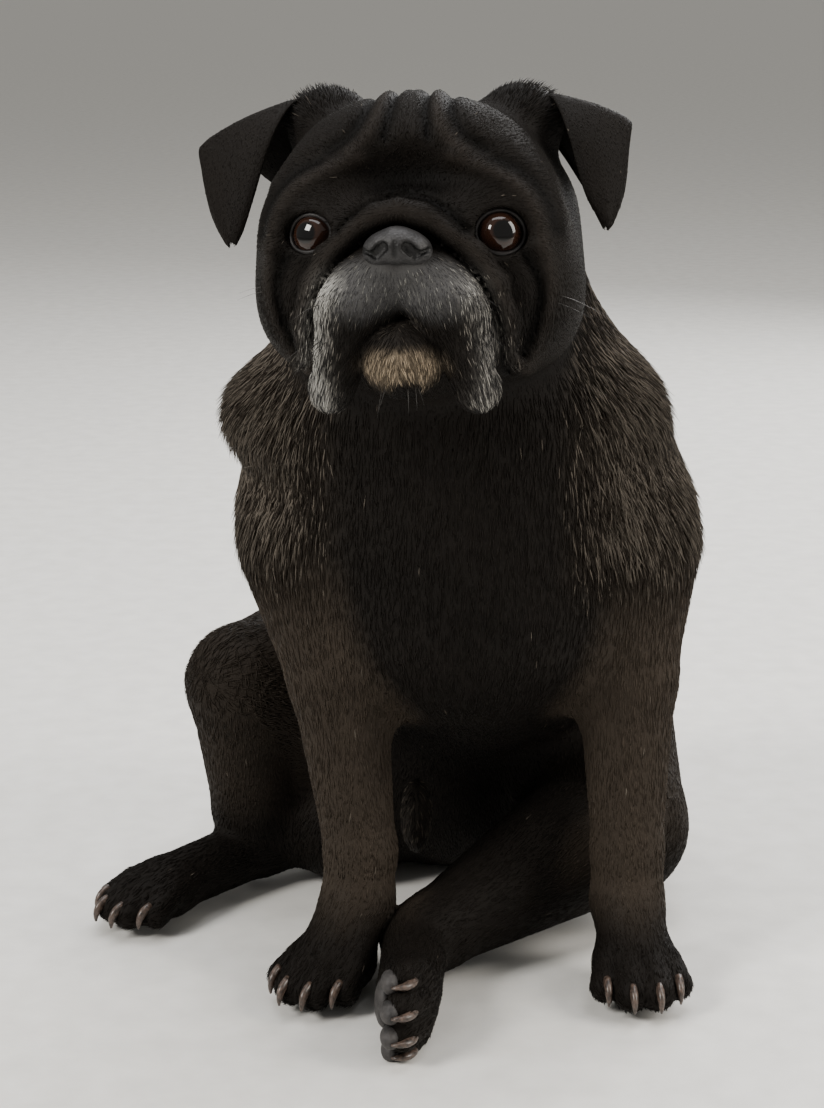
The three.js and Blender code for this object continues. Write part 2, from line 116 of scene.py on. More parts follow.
def limb(p, a, b, radius_a, radius_b):
    """A rod from a to b with round ends, whose radius changes evenly."""
    a = np.array(a, float)
    way = np.array(b, float) - a
    long2 = way @ way
    taper = radius_a - radius_b
    slope2 = long2 - taper * taper
    q = p - a
    along = q @ way
    past = along - long2
    side2 = ((q * long2 - along[:, None] * way) ** 2).sum(-1)
    along2 = along * along * long2
    past2 = past * past * long2
    limit = math.copysign(1, taper) * taper * taper * side2
    d = (np.sqrt(side2 * slope2 / long2) + along * taper) / long2 - radius_a
    d = np.where(np.sign(along) * slope2 * along2 < limit, np.sqrt(side2 + along2) / long2 - radius_a, d)
    return np.where(np.sign(past) * slope2 * past2 > limit, np.sqrt(side2 + past2) / long2 - radius_b, d)


def melt(softness, first, *others):
    """Forms joined with a soft fillet between them."""
    d = first
    for other in others:
        h = np.maximum(softness - np.abs(d - other), 0) / softness
        d = np.minimum(d, other) - h * h * softness * 0.25
    return d


def carve(softness, solid, hollow):
    """A solid less a hollow, with a soft edge."""
    return -melt(softness, -solid, hollow)


def chain(p, stations, softness=6):
    """Limbs end to end through stations of (place, radius)."""
    links = [limb(p, a, b, ra, rb) for (a, ra), (b, rb) in zip(stations, stations[1:])]
    return melt(softness, *links)


def mirrored(q):
    """Both sides of the head folded onto the dog's left."""
    return np.column_stack([np.abs(q[:, 0]), q[:, 1], q[:, 2]])


# Trunk and legs
CHEST = ((0, 88, 188), (88, 80, 84))
BARREL = ((2, 134, 168), (94, 80, 92))
RUMP = ((-6, 190, 86), (92, 70, 89))
BUTTOCK = ((-58, 166, 28), (32, 34, 30))
SHEATH = ((-24, 100, 54), (8, 13, 18))
NECK = [((0, 88, 225), 74), ((-18, 66, 292), 62)]
RUFF = ((-13, 70, 243), (92, 64, 46))
SHOULDERS = ((-5, 84, 207), (94, 68, 44))
FORE_RIGHT = [
    ((-66, 66, 186), 32),
    ((-57, 64, 130), 22),
    ((-48, 52, 56), 15.5),
    ((-49, 48, 36), 15.5),
    ((-58, 32, 18), 16),
]
FORE_LEFT = [
    ((62, 66, 186), 32),
    ((65, 64, 130), 22),
    ((66, 52, 56), 15.5),
    ((66, 48, 36), 15.5),
    ((68, 30, 18), 16),
]
HIND_RIGHT = [
    ((-58, 192, 84), 54),
    ((-103, 140, 104), 27),
    ((-102, 153, 38), 18),
    ((-97, 157, 18), 15),
    ((-138, 114, 15), 14),
]
HIND_LEFT = [
    ((44, 192, 90), 54),
    ((64, 114, 45), 35),
    ((-16, 48, 21), 17),
    ((-24, 42, 19), 15),
    ((-27, 0, 18), 14),
]
ON_ITS_SIDE = np.array([[0.0, 0, 1], [0, 1, 0], [-1, 0, 0]])
PAWS = {
    "fore_right": ((-64, 22, 14), turned(30)),
    "fore_left": ((69, 20, 14), turned(-4)),
    "hind_right": ((-147, 104, 14), turned(45)),
    "hind_left": ((-27, -20, 18), ON_ITS_SIDE),
}
LEGS = {"fore_right": FORE_RIGHT, "fore_left": FORE_LEFT, "hind_right": HIND_RIGHT, "hind_left": HIND_LEFT}
# How softly each form runs into the rest
TRUNK_BLEND = 20
BUTTOCK_BLEND = 12
SHEATH_BLEND = 9
TAIL_BLEND = 3
HEAD_BLEND = 11
LEG_BLENDS = {"fore_right": 18, "fore_left": 18, "hind_right": 14, "hind_left": 14}
TOES = ((-15, -6, 7.9), (-5.5, -14, 8.6), (5.5, -14, 8.6), (15, -6, 7.9))
TOE_GAPS = (-10.5, 0, 10.5)
TAIL_AT = (14, 247, 118)
TAIL_TURN_RADIUS = 21
TAIL_ROOT_RADIUS = 11.5
TAIL_STATIONS = 15


def tail_stations():
    """A curl over the rump that tightens and thins toward its tip."""
    x, y, z = TAIL_AT
    stations = []
    for i in range(TAIL_STATIONS):
        turn = 3.6 - 0.56 * i
        r = TAIL_TURN_RADIUS * (1 - 0.05 * i)
        place = (x + r * math.cos(turn), y + 0.9 * i, z + r * math.sin(turn))
        stations.append((place, TAIL_ROOT_RADIUS - 0.45 * i))
    return stations


TAIL = tail_stations()


def paw_local(p, name):
    at, turn = PAWS[name]
    return (p - np.array(at, float)) @ turn


def paw(p, name):
    q = paw_local(p, name)
    d = egg(q, (0, 8, 0), (19, 20, 13))
    for x, y, r in TOES:
        toe = limb(q, (x * 0.8, y + 10, 2), (x, y, -3), r, r - 0.4)
        d = melt(1.6, d, toe)
    for x in TOE_GAPS:
        groove = limb(q, (x, -6, 10.5), (x * 1.05, -24, 2), 1.0, 1.6)
        d = carve(1.5, d, groove)
    return d


def leg(p, name):
    return melt(6, chain(p, LEGS[name]), paw(p, name))


def trunk(p):
    masses = [egg(p, *mass) for mass in (CHEST, BARREL, RUMP)]
    body = melt(TRUNK_BLEND, *masses, chain(p, NECK), egg(p, *RUFF), egg(p, *SHOULDERS))
    body = melt(BUTTOCK_BLEND, body, egg(p, *BUTTOCK))
    return melt(SHEATH_BLEND, body, egg(p, *SHEATH))


# Head, in a frame of its own: the origin is midway between the eyeballs
def smooth_path(stations, t):
    """A Catmull-Rom curve through stations, read at t from 0 to 1."""
    given = np.array(stations, float)
    ends = np.vstack([2 * given[0] - given[1], given, 2 * given[-1] - given[-2]])
    spans = len(ends) - 3
    at = np.clip(np.asarray(t) * spans, 0, spans - 1e-6)
    i = at.astype(int)
    f = (at - i)[:, None]
    p0, p1, p2, p3 = (ends[i + k] for k in range(4))
    curve = 2 * p1 + (p2 - p0) * f + (2 * p0 - 5 * p1 + 4 * p2 - p3) * f**2
    curve = curve + (3 * p1 - p0 - 3 * p2 + p3) * f**3
    return 0.5 * curve


def bent(path):
    """A path of few stations as a smooth run of short lines."""
    return smooth_path(path, np.linspace(0, 1, 4 * len(path) - 3))


ROLL_OVER_NOSE = [((0, -25, 5), 6.0), ((9, -24.5, 2.8), 5.8), ((18, -22, -3), 5.6), ((27.5, -17, -10.5), 5.2)]
ROLL_OVER_NOSE += [((34, -12, -20.5), 5.2), ((38, -7, -33), 5), ((38.5, -3, -46), 4)]
LOWER_LIP = ((0, -11, -47), (16.3, 19, 15.5))
EYE_WIDTHS = {1: (9.2, 7.9), -1: (8.6, 6.8)}
MEAN_LID_RADIUS = 7.5
OPENING_STARTS = 3
LID_THICKNESS = 2.6
FACE_BACK = 48
FACE_HALF_WIDTH = 66
FACE_HALF_HEIGHT = 72
# Folds and creases seen from the front, as (x, z) stations, then half width and height
FOLDS = [
    ([(17, 26), (25, 23.5), (34, 20), (43, 14), (49, 4), (51, -7)], 3.4, 2.2),
    ([(18, 46), (26, 37), (40, 31), (52, 20)], 3.4, 0.9),
    ([(9, 56), (11, 44), (15, 34), (21, 28.5)], 2.6, 1.3),
    ([(2, 58), (1.5, 46), (2.5, 34)], 2.2, 0.9),
    ([(51, -7), (53, -20), (49, -37), (42, -50)], 3.4, 1.8),
]
CREASES = [
    ([(6, 56), (6.5, 44), (8, 34)], 1.6, 1.6),
    ([(14, 54), (16, 44), (21, 35), (29, 29.5)], 1.8, 1.5),
    ([(32, 26), (42, 21.5), (51, 12), (55, 0)], 1.8, 1.3),
    ([(44, -9), (49, -20), (47, -33), (42, -44)], 1.8, 1.6),
    ([(0, 12.5), (9, 10.5), (17, 5), (23, -1)], 1.8, 2.4),
    ([(0, -1.5), (11, -4), (20, -10.5), (28, -18.5), (32.5, -28), (34.5, -40), (34.5, -50)], 1.5, 2.4),
]
FOLDS, CREASES = ([(bent(path), width, height) for path, width, height in rows] for rows in (FOLDS, CREASES))


def near_path(x, z, path):
    """The distance in the front view from points to a run of straight lines."""
    best = np.full(len(x), 1e9)
    for (x0, z0), (x1, z1) in zip(path, path[1:]):
        dx, dz = x1 - x0, z1 - z0
        t = np.clip(((x - x0) * dx + (z - z0) * dz) / (dx * dx + dz * dz), 0, 1)
        best = np.minimum(best, np.hypot(x - x0 - t * dx, z - z0 - t * dz))
    return best


def fade(value, full, gone):
    """1 where value has reached full, 0 where it has reached gone, smooth between."""
    t = np.clip((value - gone) / (full - gone), 0, 1)
    return t * t * (3 - 2 * t)


def wrinkles(q):
    """How far the folds rise, less how deep the creases go, on the front of the face."""
    close = (q[:, 1] < FACE_BACK) & (np.abs(q[:, 0]) < FACE_HALF_WIDTH) & (np.abs(q[:, 2]) < FACE_HALF_HEIGHT)
    x = np.abs(q[close, 0])
    z = q[close, 2]
    height = np.zeros(len(q))
    for path, width, rise in FOLDS:
        height[close] += rise * np.exp(-((near_path(x, z, path) / width) ** 2))
    for path, width, depth in CREASES:
        height[close] -= depth * np.exp(-((near_path(x, z, path) / width) ** 2))
    return height * fade(q[:, 1], 25, FACE_BACK)


def eye_opening(q):
    """A prism along the way each eye looks, whose outline is the lids' almond."""
    s = mirrored(q)
    left = q[:, 0] > 0
    wide, high = (np.where(left, EYE_WIDTHS[1][k], EYE_WIDTHS[-1][k]) for k in (0, 1))
    across = np.cross(EYE_LOOKS, [0, 0, 1])
    across /= np.linalg.norm(across)
    up = np.cross(across, EYE_LOOKS)
    r = s - EYE_AT
    a = r @ across
    b = r @ up
    ahead = r @ EYE_LOOKS
    almond = (np.hypot(a / wide, b / high) - 1) * MEAN_LID_RADIUS
    return np.maximum(almond, OPENING_STARTS - ahead)


def head(p):
    """The whole head without its ear leaves, from the skull out to the lids, lips and chin."""
    q = in_head(p)
    s = mirrored(q)
    skull = egg(q, (0, 50, 8), (61, 58, 48))
    forehead = egg(q, (0, 16, 26), (45, 26, 27))
    ear_base = egg(s, (37, 47, 46), (18, 17, 16.5))
    orbit = egg(s, (34, 10, 2), (24, 20, 23))
    cheek = egg(s, (36, 35, -21), (28, 38, 31))
    throat = egg(q, (0, 22, -40), (33, 34, 22))
    d = melt(16, skull, forehead, orbit, cheek, throat)
    d = melt(8, d, ear_base)
    d = carve(9, d, egg(q, (0, -12, 20.5), (21, 9.5, 8)))
    bridge = egg(q, (0, -3, -2), (30, 19, 15))
    muzzle = egg(q, (0, -10, -17), (30, 22, 15))
    pad = egg(s, (17, -13, -27), (16.5, 19, 12))
    flew = limb(s, (19.5, -14.5, -33), (27, -8, -58), 12.5, 9.3)
    lips = melt(7, muzzle, pad, flew)
    d = melt(7, d, bridge, lips)
    d = melt(4, d, chain(s, ROLL_OVER_NOSE, 3))
    d = d - wrinkles(q)
    lid = egg(s, EYE_AT, [EYE_RADIUS + LID_THICKNESS] * 3)
    d = melt(3, d, lid)
    d = carve(1.2, d, eye_opening(q))
    philtrum = limb(s, (0, -32.2, -15), (0, -33, -33), 1.0, 1.5)
    d = carve(1.5, d, philtrum)
    chin = egg(q, *LOWER_LIP)
    return melt(1.2, d, chin)


# How deep the coat is over the skin
FACE_COAT = 0.9
FOOT_COAT = 0.9
BODY_COAT = 1.4
RUFF_COAT = 4.0
RUFF_MIDDLE_X = -13
RUFF_MIDDLE_Z = 238


def near_ruff(p):
    """1 at the sides of the neck, 0 away from them."""
    at_sides = fade(np.abs(p[:, 0] - RUFF_MIDDLE_X), 70, 40)
    height = fade(np.abs(p[:, 2] - RUFF_MIDDLE_Z), 30, 75)
    return at_sides * height


def coat_depth(p):
    low = fade(p[:, 2], 120, 30)
    depth = FOOT_COAT + (BODY_COAT - FOOT_COAT) * low
    depth = depth + (RUFF_COAT - BODY_COAT) * near_ruff(p) * 0.8
    in_face = fade(head(p), 0, 12)
    return depth * (1 - in_face) + FACE_COAT * in_face


def flesh(p):
    """The whole dog. Each leg melts into the trunk alone, so that legs that touch stay apart."""
    middle = trunk(p)
    d = middle
    for name in LEGS:
        d = np.minimum(d, melt(LEG_BLENDS[name], middle, leg(p, name)))
    d = melt(TAIL_BLEND, d, chain(p, TAIL, 2))
    d = melt(HEAD_BLEND, d, head(p))
    return np.maximum(d, -p[:, 2])


def skin_field(p):
    """The flesh drawn in by the coat's depth, so that the coat ends where the solids do."""
    return flesh(p) + coat_depth(p)


# Meshing: the closed surface where a field is zero
def nested_lines(low, high, coarse, fine=()):
    """Even lines from low to high, closer together over each (from, to, step)."""
    lines = []
    at = low
    while at < high:
        lines.append(at)
        step = coarse
        for start, end, finer in fine:
            if start <= at < end:
                step = finer
        at += step
    return np.array(lines + [at])


def sampled(field, axes, block=6, margin=0.75, batch=200000):
    """The field on a lattice. Blocks far from the surface only get its sign."""
    shape = tuple(len(a) for a in axes)
    picks = [np.unique(np.append(np.arange(0, n, block), n - 1)) for n in shape]
    rough = field(lattice([a[i] for a, i in zip(axes, picks)])).reshape([len(i) for i in picks])
    values = np.empty(shape)
    wanted = np.zeros(shape, bool)
    for i in range(len(picks[0]) - 1):
        for j in range(len(picks[1]) - 1):
            for k in range(len(picks[2]) - 1):
                corners = rough[i : i + 2, j : j + 2, k : k + 2]
                span = [slice(pick[n], pick[n + 1] + 1) for pick, n in zip(picks, (i, j, k))]
                first = [a[s.start] for a, s in zip(axes, span)]
                last = [a[s.stop - 1] for a, s in zip(axes, span)]
                if np.abs(corners).min() < math.dist(first, last) * margin:
                    wanted[tuple(span)] = True
                else:
                    values[tuple(span)] = corners.flat[0]
    index = np.argwhere(wanted)
    points = np.column_stack([axis[index[:, k]] for k, axis in enumerate(axes)])
    for start in range(0, len(points), batch):
        part = slice(start, start + batch)
        values[tuple(index[part].T)] = field(points[part])
    return values


def lattice(axes):
    return np.stack(np.meshgrid(*axes, indexing="ij"), -1).reshape(-1, 3)


def edge_ends(values, k):
    """The values at the low and at the high end of each lattice edge along axis k."""
    low = [slice(None)] * 3
    high = [slice(None)] * 3
    low[k] = slice(None, -1)
    high[k] = slice(1, None)
    return values[tuple(low)], values[tuple(high)]


def surface(field, axes, rounds=2):
    """Surface nets: one corner in each cell that the surface crosses, and one quad over each crossed edge."""
    values = sampled(field, axes)
    inside = values < 0
    cells = np.array(values.shape) - 1
    total = np.zeros((*cells, 3))
    count = np.zeros(cells)
    for k in range(3):
        crossed = np.not_equal(*edge_ends(inside, k))
        index = np.argwhere(crossed)
        a, b = (ends[crossed] for ends in edge_ends(values, k))
        t = a / (a - b)
        place = np.column_stack([axis[index[:, m]] for m, axis in enumerate(axes)])
        place[:, k] += t * (axes[k][index[:, k] + 1] - axes[k][index[:, k]])
        others = [m for m in range(3) if m != k]
        for back in ((0, 0), (0, 1), (1, 0), (1, 1)):
            cell = index.copy()
            cell[:, others[0]] -= back[0]
            cell[:, others[1]] -= back[1]
            fits = ((cell >= 0) & (cell < cells)).all(1)
            np.add.at(total, tuple(cell[fits].T), place[fits])
            np.add.at(count, tuple(cell[fits].T), 1)
    used = count > 0
    number = -np.ones(count.shape, int)
    number[used] = np.arange(used.sum())
    points = total[used] / count[used][:, None]
    quads = []
    for k, (m, n) in enumerate(((1, 2), (2, 0), (0, 1))):
        index = np.argwhere(np.not_equal(*edge_ends(inside, k)))
        for side in (m, n):
            index = index[(index[:, side] > 0) & (index[:, side] < cells[side])]
        ring = []
        for back_m, back_n in ((1, 1), (0, 1), (0, 0), (1, 0)):
            cell = index.copy()
            cell[:, m] -= back_m
            cell[:, n] -= back_n
            ring.append(number[tuple(cell.T)])
        ring = np.stack(ring, 1)
        turn = ~inside[tuple(index.T)]
        ring[turn] = ring[turn][:, ::-1]
        quads.append(ring)
    quads = np.concatenate(quads)
    for _ in range(rounds):
        points = evened(points, quads)
        points = settled(field, points)
    return points, quads


def evened(points, quads, share=0.5):
    """Moves each point a share of the way to the middle of its neighbours."""
    total = np.zeros_like(points)
    count = np.zeros(len(points))
    for a, b in ((0, 1), (1, 2), (2, 3), (3, 0)):
        for m, n in ((a, b), (b, a)):
            for k in range(3):
                total[:, k] += np.bincount(quads[:, m], points[quads[:, n], k], len(points))
            count += np.bincount(quads[:, m], minlength=len(points))
    return points * (1 - share) + share * total / count[:, None]


def slope(field, points, step=0.3):
    """The way in which a field grows, and how fast."""
    result = np.empty_like(points)
    for k in range(3):
        offset = np.zeros(3)
        offset[k] = step
        result[:, k] = (field(points + offset) - field(points - offset)) / (2 * step)
    return result


def settled(field, points):
    """Moves points onto the surface, by at most 1.5 of its steepest lengths."""
    g = slope(field, points)
    steep = np.maximum((g * g).sum(1), 0.15)
    move = np.clip(field(points) / steep, -1.5, 1.5)
    return points - g * move[:, None]


def unit(vectors):
    return vectors / np.linalg.norm(vectors, axis=-1, keepdims=True).clip(1e-9)


# Turning points into Blender meshes
def to_frame(points):
    """Places of the dog's frame in the part's frame, in metres."""
    return (np.asarray(points) + SHIFT) * MM


def smooth_piece(name, mesh):
    """Puts a finished mesh into the scene as a piece with smooth shading."""
    mesh.validate()
    mesh.polygons.foreach_set("use_smooth", np.ones(len(mesh.polygons), bool))
    piece = bpy.data.objects.new(name, mesh)
    bpy.context.scene.collection.objects.link(piece)
    return piece


def make_mesh(name, points, faces):
    """A mesh object from points in millimetres and an array of faces, all with the same number of corners."""
    faces = np.asarray(faces)
    mesh = bpy.data.meshes.new(name)
    mesh.vertices.add(len(points))
    mesh.vertices.foreach_set("co", to_frame(points).astype(np.float32).ravel())
    mesh.loops.add(faces.size)
    mesh.loops.foreach_set("vertex_index", faces.astype(np.int32).ravel())
    mesh.polygons.add(len(faces))
    mesh.polygons.foreach_set("loop_start", np.arange(0, faces.size, faces.shape[1], dtype=np.int32))
    mesh.update(calc_edges=True)
    return smooth_piece(name, mesh)


def polygons(name, points, faces):
    """A mesh object from points in millimetres and faces that may differ in size."""
    mesh = bpy.data.meshes.new(name)
    mesh.from_pydata([tuple(p) for p in to_frame(points)], [], faces)
    return smooth_piece(name, mesh)


def tube_faces(rings, sides):
    """Quads between rings of points that all have the same number of sides."""
    faces = []
    for i in range(rings - 1):
        for k in range(sides):
            n = (k + 1) % sides
            faces.append((i * sides + k, i * sides + n, (i + 1) * sides + n, (i + 1) * sides + k))
    return faces


def joined(parts):
    """The points and faces of several parts as those of one."""
    places = []
    faces = []
    start = 0
    for part_points, part_faces in parts:
        faces += [tuple(i + start for i in face) for face in part_faces]
        places.append(part_points)
        start += len(part_points)
    return np.concatenate(places), faces


def paint(piece, colours):
    """Stores one colour for each corner point of a piece, for its material to read."""
    layer = piece.data.attributes.new("marking", "FLOAT_COLOR", "POINT")
    rgba = np.column_stack([colours, np.ones(len(colours))])
    layer.data.foreach_set("color", rgba.astype(np.float32).ravel())


def unwrap(piece):
    """Gives a piece a UV map of its own shape, under the name that the bake reads."""
    piece.data.uv_layers.new(name="OFBake")
    bpy.ops.object.select_all(action="DESELECT")
    bpy.context.view_layer.objects.active = piece
    piece.select_set(True)
    bpy.ops.object.mode_set(mode="EDIT")
    bpy.ops.mesh.select_all(action="SELECT")
    bpy.ops.uv.smart_project(angle_limit=math.radians(66), island_margin=0.003)
    bpy.ops.object.mode_set(mode="OBJECT")


# Ears: a folded leaf from the side of the skull, forward over a fold and down to a soft point
EAR_THICKNESS = 2.4
EAR_CROWN = 2.6
EAR_SPAN = 26
EAR_LENGTH = 44
EAR_LIFTS = {1: 8, -1: 0}


def ear_rows(lift):
    """Stations from root to tip, each (inner edge, outer edge), for the dog's left ear."""
    return [
        ((38, 52, 52), (60, 60, 24)),
        ((44, 46, 57), (76, 56, 36 + lift * 0.4)),
        ((51, 36, 53), (88 - lift, 45, 39 + lift * 0.8)),
        ((57, 28, 39), (86.5 - lift * 0.9, 39, 28 + lift * 0.8)),
        ((63, 26, 18), (82 - lift * 0.5, 34, 12 + lift * 0.8)),
        ((67.5, 26.5, 4 + lift * 0.6), (77 - lift * 0.3, 30.5, 2.5 + lift * 0.6)),
        ((70.5, 27.5, -1.5 + lift * 0.6), (73.5 - lift * 0.2, 28.8, -2 + lift * 0.6)),
    ]


def ear(side, lift):
    """The points, quads and lie of hair of one ear. side is 1 for the dog's left."""
    rows = ear_rows(lift)
    t = np.linspace(0, 1, EAR_LENGTH)
    inner = smooth_path([row[0] for row in rows], t)
    outer = smooth_path([row[1] for row in rows], t)
    u = np.linspace(0, 1, EAR_SPAN)[None, :, None]
    sheet = inner[:, None] * (1 - u) + outer[:, None] * u
    sheet += np.sin(np.pi * u) * EAR_CROWN * np.array([0.35, -0.6, 0.5])
    tipward = np.gradient(sheet, axis=0)
    out = unit(np.cross(np.gradient(sheet, axis=1), tipward))
    edge = np.minimum(np.minimum(u[0, :, 0], 1 - u[0, :, 0])[None, :], (1 - t)[:, None] * 1.5)
    half = EAR_THICKNESS / 2 * np.clip(edge / 0.12, 0.12, 1) ** 0.5
    front = (sheet + out * half[..., None]).reshape(-1, 3)
    back = (sheet - out * half[..., None]).reshape(-1, 3)
    points = np.vstack([front, back])
    points[:, 0] *= side
    grid = np.arange(EAR_LENGTH * EAR_SPAN).reshape(EAR_LENGTH, EAR_SPAN)
    quads = np.stack([grid[:-1, :-1], grid[:-1, 1:], grid[1:, 1:], grid[1:, :-1]], -1).reshape(-1, 4)
    other = quads[:, ::-1] + grid.size
    border = np.concatenate([grid[0, :-1], grid[:-1, -1], grid[-1, :0:-1], grid[:0:-1, 0]])
    after = np.roll(border, -1)
    rim = np.stack([after, border, border + grid.size, after + grid.size], -1)
    quads = np.concatenate([quads, other, rim])
    if side < 0:
        quads = quads[:, ::-1]
    lie = np.tile((tipward / np.linalg.norm(tipward, axis=-1, keepdims=True)).reshape(-1, 3), (2, 1))
    lie[:, 0] *= side
    return on_dog(points), quads, lie @ HEAD_TURN.T


# Build the skin
SKIN_OFF_FLOOR = 0.3
X_LINES = nested_lines(-188, 128, 4.2, [(-118, 72, 1.7)])
Y_LINES = nested_lines(-72, 282, 4.2, [(-72, 80, 2.0)])
Z_LINES = nested_lines(-3, 396, 4.2, [(-3, 34, 2.2), (252, 396, 1.7)])
skin_points, skin_quads = surface(skin_field, (X_LINES, Y_LINES, Z_LINES))
skin_points[:, 2] = np.maximum(skin_points[:, 2], SKIN_OFF_FLOOR)

body_count = len(skin_points)
lies = [np.zeros_like(skin_points)]
points = [skin_points]
quads = [skin_quads]
for side, lift in EAR_LIFTS.items():
    ear_points, ear_quads, ear_lie = ear(side, lift)
    quads.append(ear_quads + sum(len(part) for part in points))
    points.append(ear_points)
    lies.append(ear_lie)
points = np.concatenate(points)
quads = np.concatenate(quads)
ear_lies = np.concatenate(lies)
is_ear = np.arange(len(points)) >= body_count


# Markings, with painted shade and painted highlights: the same colours for skin and coat, by place
BLACK = np.array([0.0048, 0.0040, 0.0035])
# The coat's brown tinge, made lighter to stand in for sheen: real colour and painted sheen together
BROWN_BLACK_WITH_PAINTED_SHEEN = np.array([0.0360, 0.0280, 0.0210])
GRIZZLE = np.array([0.088, 0.075, 0.061])
SILVER = np.array([0.42, 0.41, 0.38])
LIP_GREY = np.array([0.050, 0.049, 0.050])
CREAM = np.array([0.34, 0.27, 0.19])
FLEW_LINE = [(26, -22), (31, -34), (33, -50), (30, -64)]
# Soft eggs of colour, as (centre, radii): the first five in the head's frame, the last in the dog's. The
# first is painted shade in the hollow above the roll.
PAINTED_BROW_HOLLOW_SHADE = ((0, -12, 18), (24, 22, 11))
LIP_PADS = ((12, -30, -23), (25, 22, 15))
PALE_CHIN = ((1, -24, -51), (22, 19, 10.5))
LOWER_LIP_EDGE = ((0, -27, -38), (15, 16, 10))
UNDER_CHIN = ((3, -22, -60), (9, 16, 6))
THIN_HAIR = ((-24, 90, 50), (18, 30, 30))
# Half widths of the painted shade along the creases and of the painted highlights along the folds
PAINTED_CREASE_SHADE_WIDTH = 2.4
PAINTED_FOLD_HIGHLIGHT_WIDTH = 2.6
SILVER_BAND_WIDTH = 6.5
# Paths of the painted highlights: three folds and the roll over the nose
PAINTED_HIGHLIGHT_FOLDS = [FOLDS[0][0], FOLDS[2][0], FOLDS[4][0], bent([(at[0], at[2]) for at, _ in ROLL_OVER_NOSE])]


def blot(q, centre, radii):
    """1 at the middle of a soft egg, 0 outside it."""
    r = np.sqrt((((q - np.array(centre, float)) / np.array(radii, float)) ** 2).sum(-1))
    return fade(r, 0.45, 1.0)


def colours_with_painted_light(p):
    """(base colour, pale hair colour, share of pale hairs) at each place. The base colour also holds painted
    shade in the creases and the brow hollow, painted highlights on the folds and painted sheen in the brown.
    """
    q = in_head(p)
    s = mirrored(q)
    in_face = fade(head(p), 2, 12)
    # Where the brown tinge and its painted sheen go: the forelegs, the outer flanks and the sides of the neck
    along_legs = np.minimum(chain(p, FORE_RIGHT), chain(p, FORE_LEFT))
    legs = fade(along_legs, 4, 18) * fade(p[:, 2], 150, 225) * fade(p[:, 2], 48, 24)
    flank = fade(np.abs(p[:, 0]), 85, 45) * fade(p[:, 2], 60, 30) * fade(p[:, 2], 255, 290)
    neck_sides = near_ruff(p) * (1 - in_face)
    brown_and_painted_sheen = 0.10 + 0.90 * np.maximum.reduce([legs, 0.5 * flank, 0.5 * neck_sides])
    base = BLACK + (BROWN_BLACK_WITH_PAINTED_SHEEN - BLACK) * brown_and_painted_sheen[:, None]
    pale = np.tile(GRIZZLE, (len(p), 1))
    share = 0.55 * neck_sides + 0.002

    def line(path, half_width):
        return np.exp(-((near_path(s[:, 0], s[:, 2], path) / half_width) ** 2))

    def mark(mask, colour, pale_colour=None, pale_share=0.0):
        """Lays a marking over what is there, where its mask is 1."""
        nonlocal base, pale, share
        m = mask[:, None]
        base = base * (1 - m) + np.array(colour) * m
        if pale_colour is not None:
            pale = pale * (1 - m) + np.array(pale_colour) * m
        share = share * (1 - mask) + pale_share * mask

    mark(in_face * fade(q[:, 1], 60, 20), BLACK * 1.05, GRIZZLE, 0.008)
    # On the front of the face: painted shade in the brow hollow and the creases, and painted highlights along
    # the folds and the roll
    in_front = in_face * fade(q[:, 1], 20, 45)
    painted_crease_shade = blot(q, *PAINTED_BROW_HOLLOW_SHADE)
    for path, _, _ in CREASES:
        painted_crease_shade = np.maximum(painted_crease_shade, line(path, PAINTED_CREASE_SHADE_WIDTH))
    light = np.zeros(len(p))
    for path in PAINTED_HIGHLIGHT_FOLDS:
        light = np.maximum(light, line(path, PAINTED_FOLD_HIGHLIGHT_WIDTH))
    base = base * (1 + in_front * (1.1 * light * (1 - painted_crease_shade) - 0.65 * painted_crease_shade))[:, None]
    mark(blot(s, *LIP_PADS) * in_face, LIP_GREY, SILVER * 0.35, 0.14)
    right = 1.0 * (q[:, 0] < 0)
    silver_band = line(FLEW_LINE, SILVER_BAND_WIDTH) * in_face * fade(q[:, 1], 0, 14) * (0.55 + 0.45 * right)
    mark(silver_band, LIP_GREY * 0.6, SILVER, 0.55)
    mark(blot(q, *PALE_CHIN), CREAM * 0.22, CREAM, 0.42)
    mark(blot(q, *LOWER_LIP_EDGE), BLACK * 2.4, GRIZZLE * 0.5, 0.15)
    mark(blot(q, *UNDER_CHIN), BLACK * 1.5)
    mark(blot(p, *THIN_HAIR), BLACK * 2.5, GRIZZLE, 0.2)
    return base, pale, share


# Painted shade between the hairs: the skin under the coat takes the coat's colours, darkened
SKIN_SHADE_BETWEEN_HAIRS = 0.8
base, pale, share = colours_with_painted_light(points)
skin_colours = (base * (1 - share[:, None]) + pale * share[:, None]) * SKIN_SHADE_BETWEEN_HAIRS


# Shader words
class Socket:
    """A value in a material, so that shader maths reads as Python."""

    def __init__(self, tree, output):
        self.tree = tree
        self.output = output

    def _math(self, operation, *values):
        node = self.tree.nodes.new("ShaderNodeMath")
        node.operation = operation
        for slot, value in zip(node.inputs, values):
            if isinstance(value, Socket):
                self.tree.links.new(value.output, slot)
            else:
                slot.default_value = value
        return Socket(self.tree, node.outputs[0])

    def __add__(self, other):
        return self._math("ADD", self, other)

    def __mul__(self, other):
        return self._math("MULTIPLY", self, other)

    def __sub__(self, other):
        return self._math("SUBTRACT", self, other)

    def __rsub__(self, other):
        return self._math("SUBTRACT", other, self)

    __radd__ = __add__
    __rmul__ = __mul__


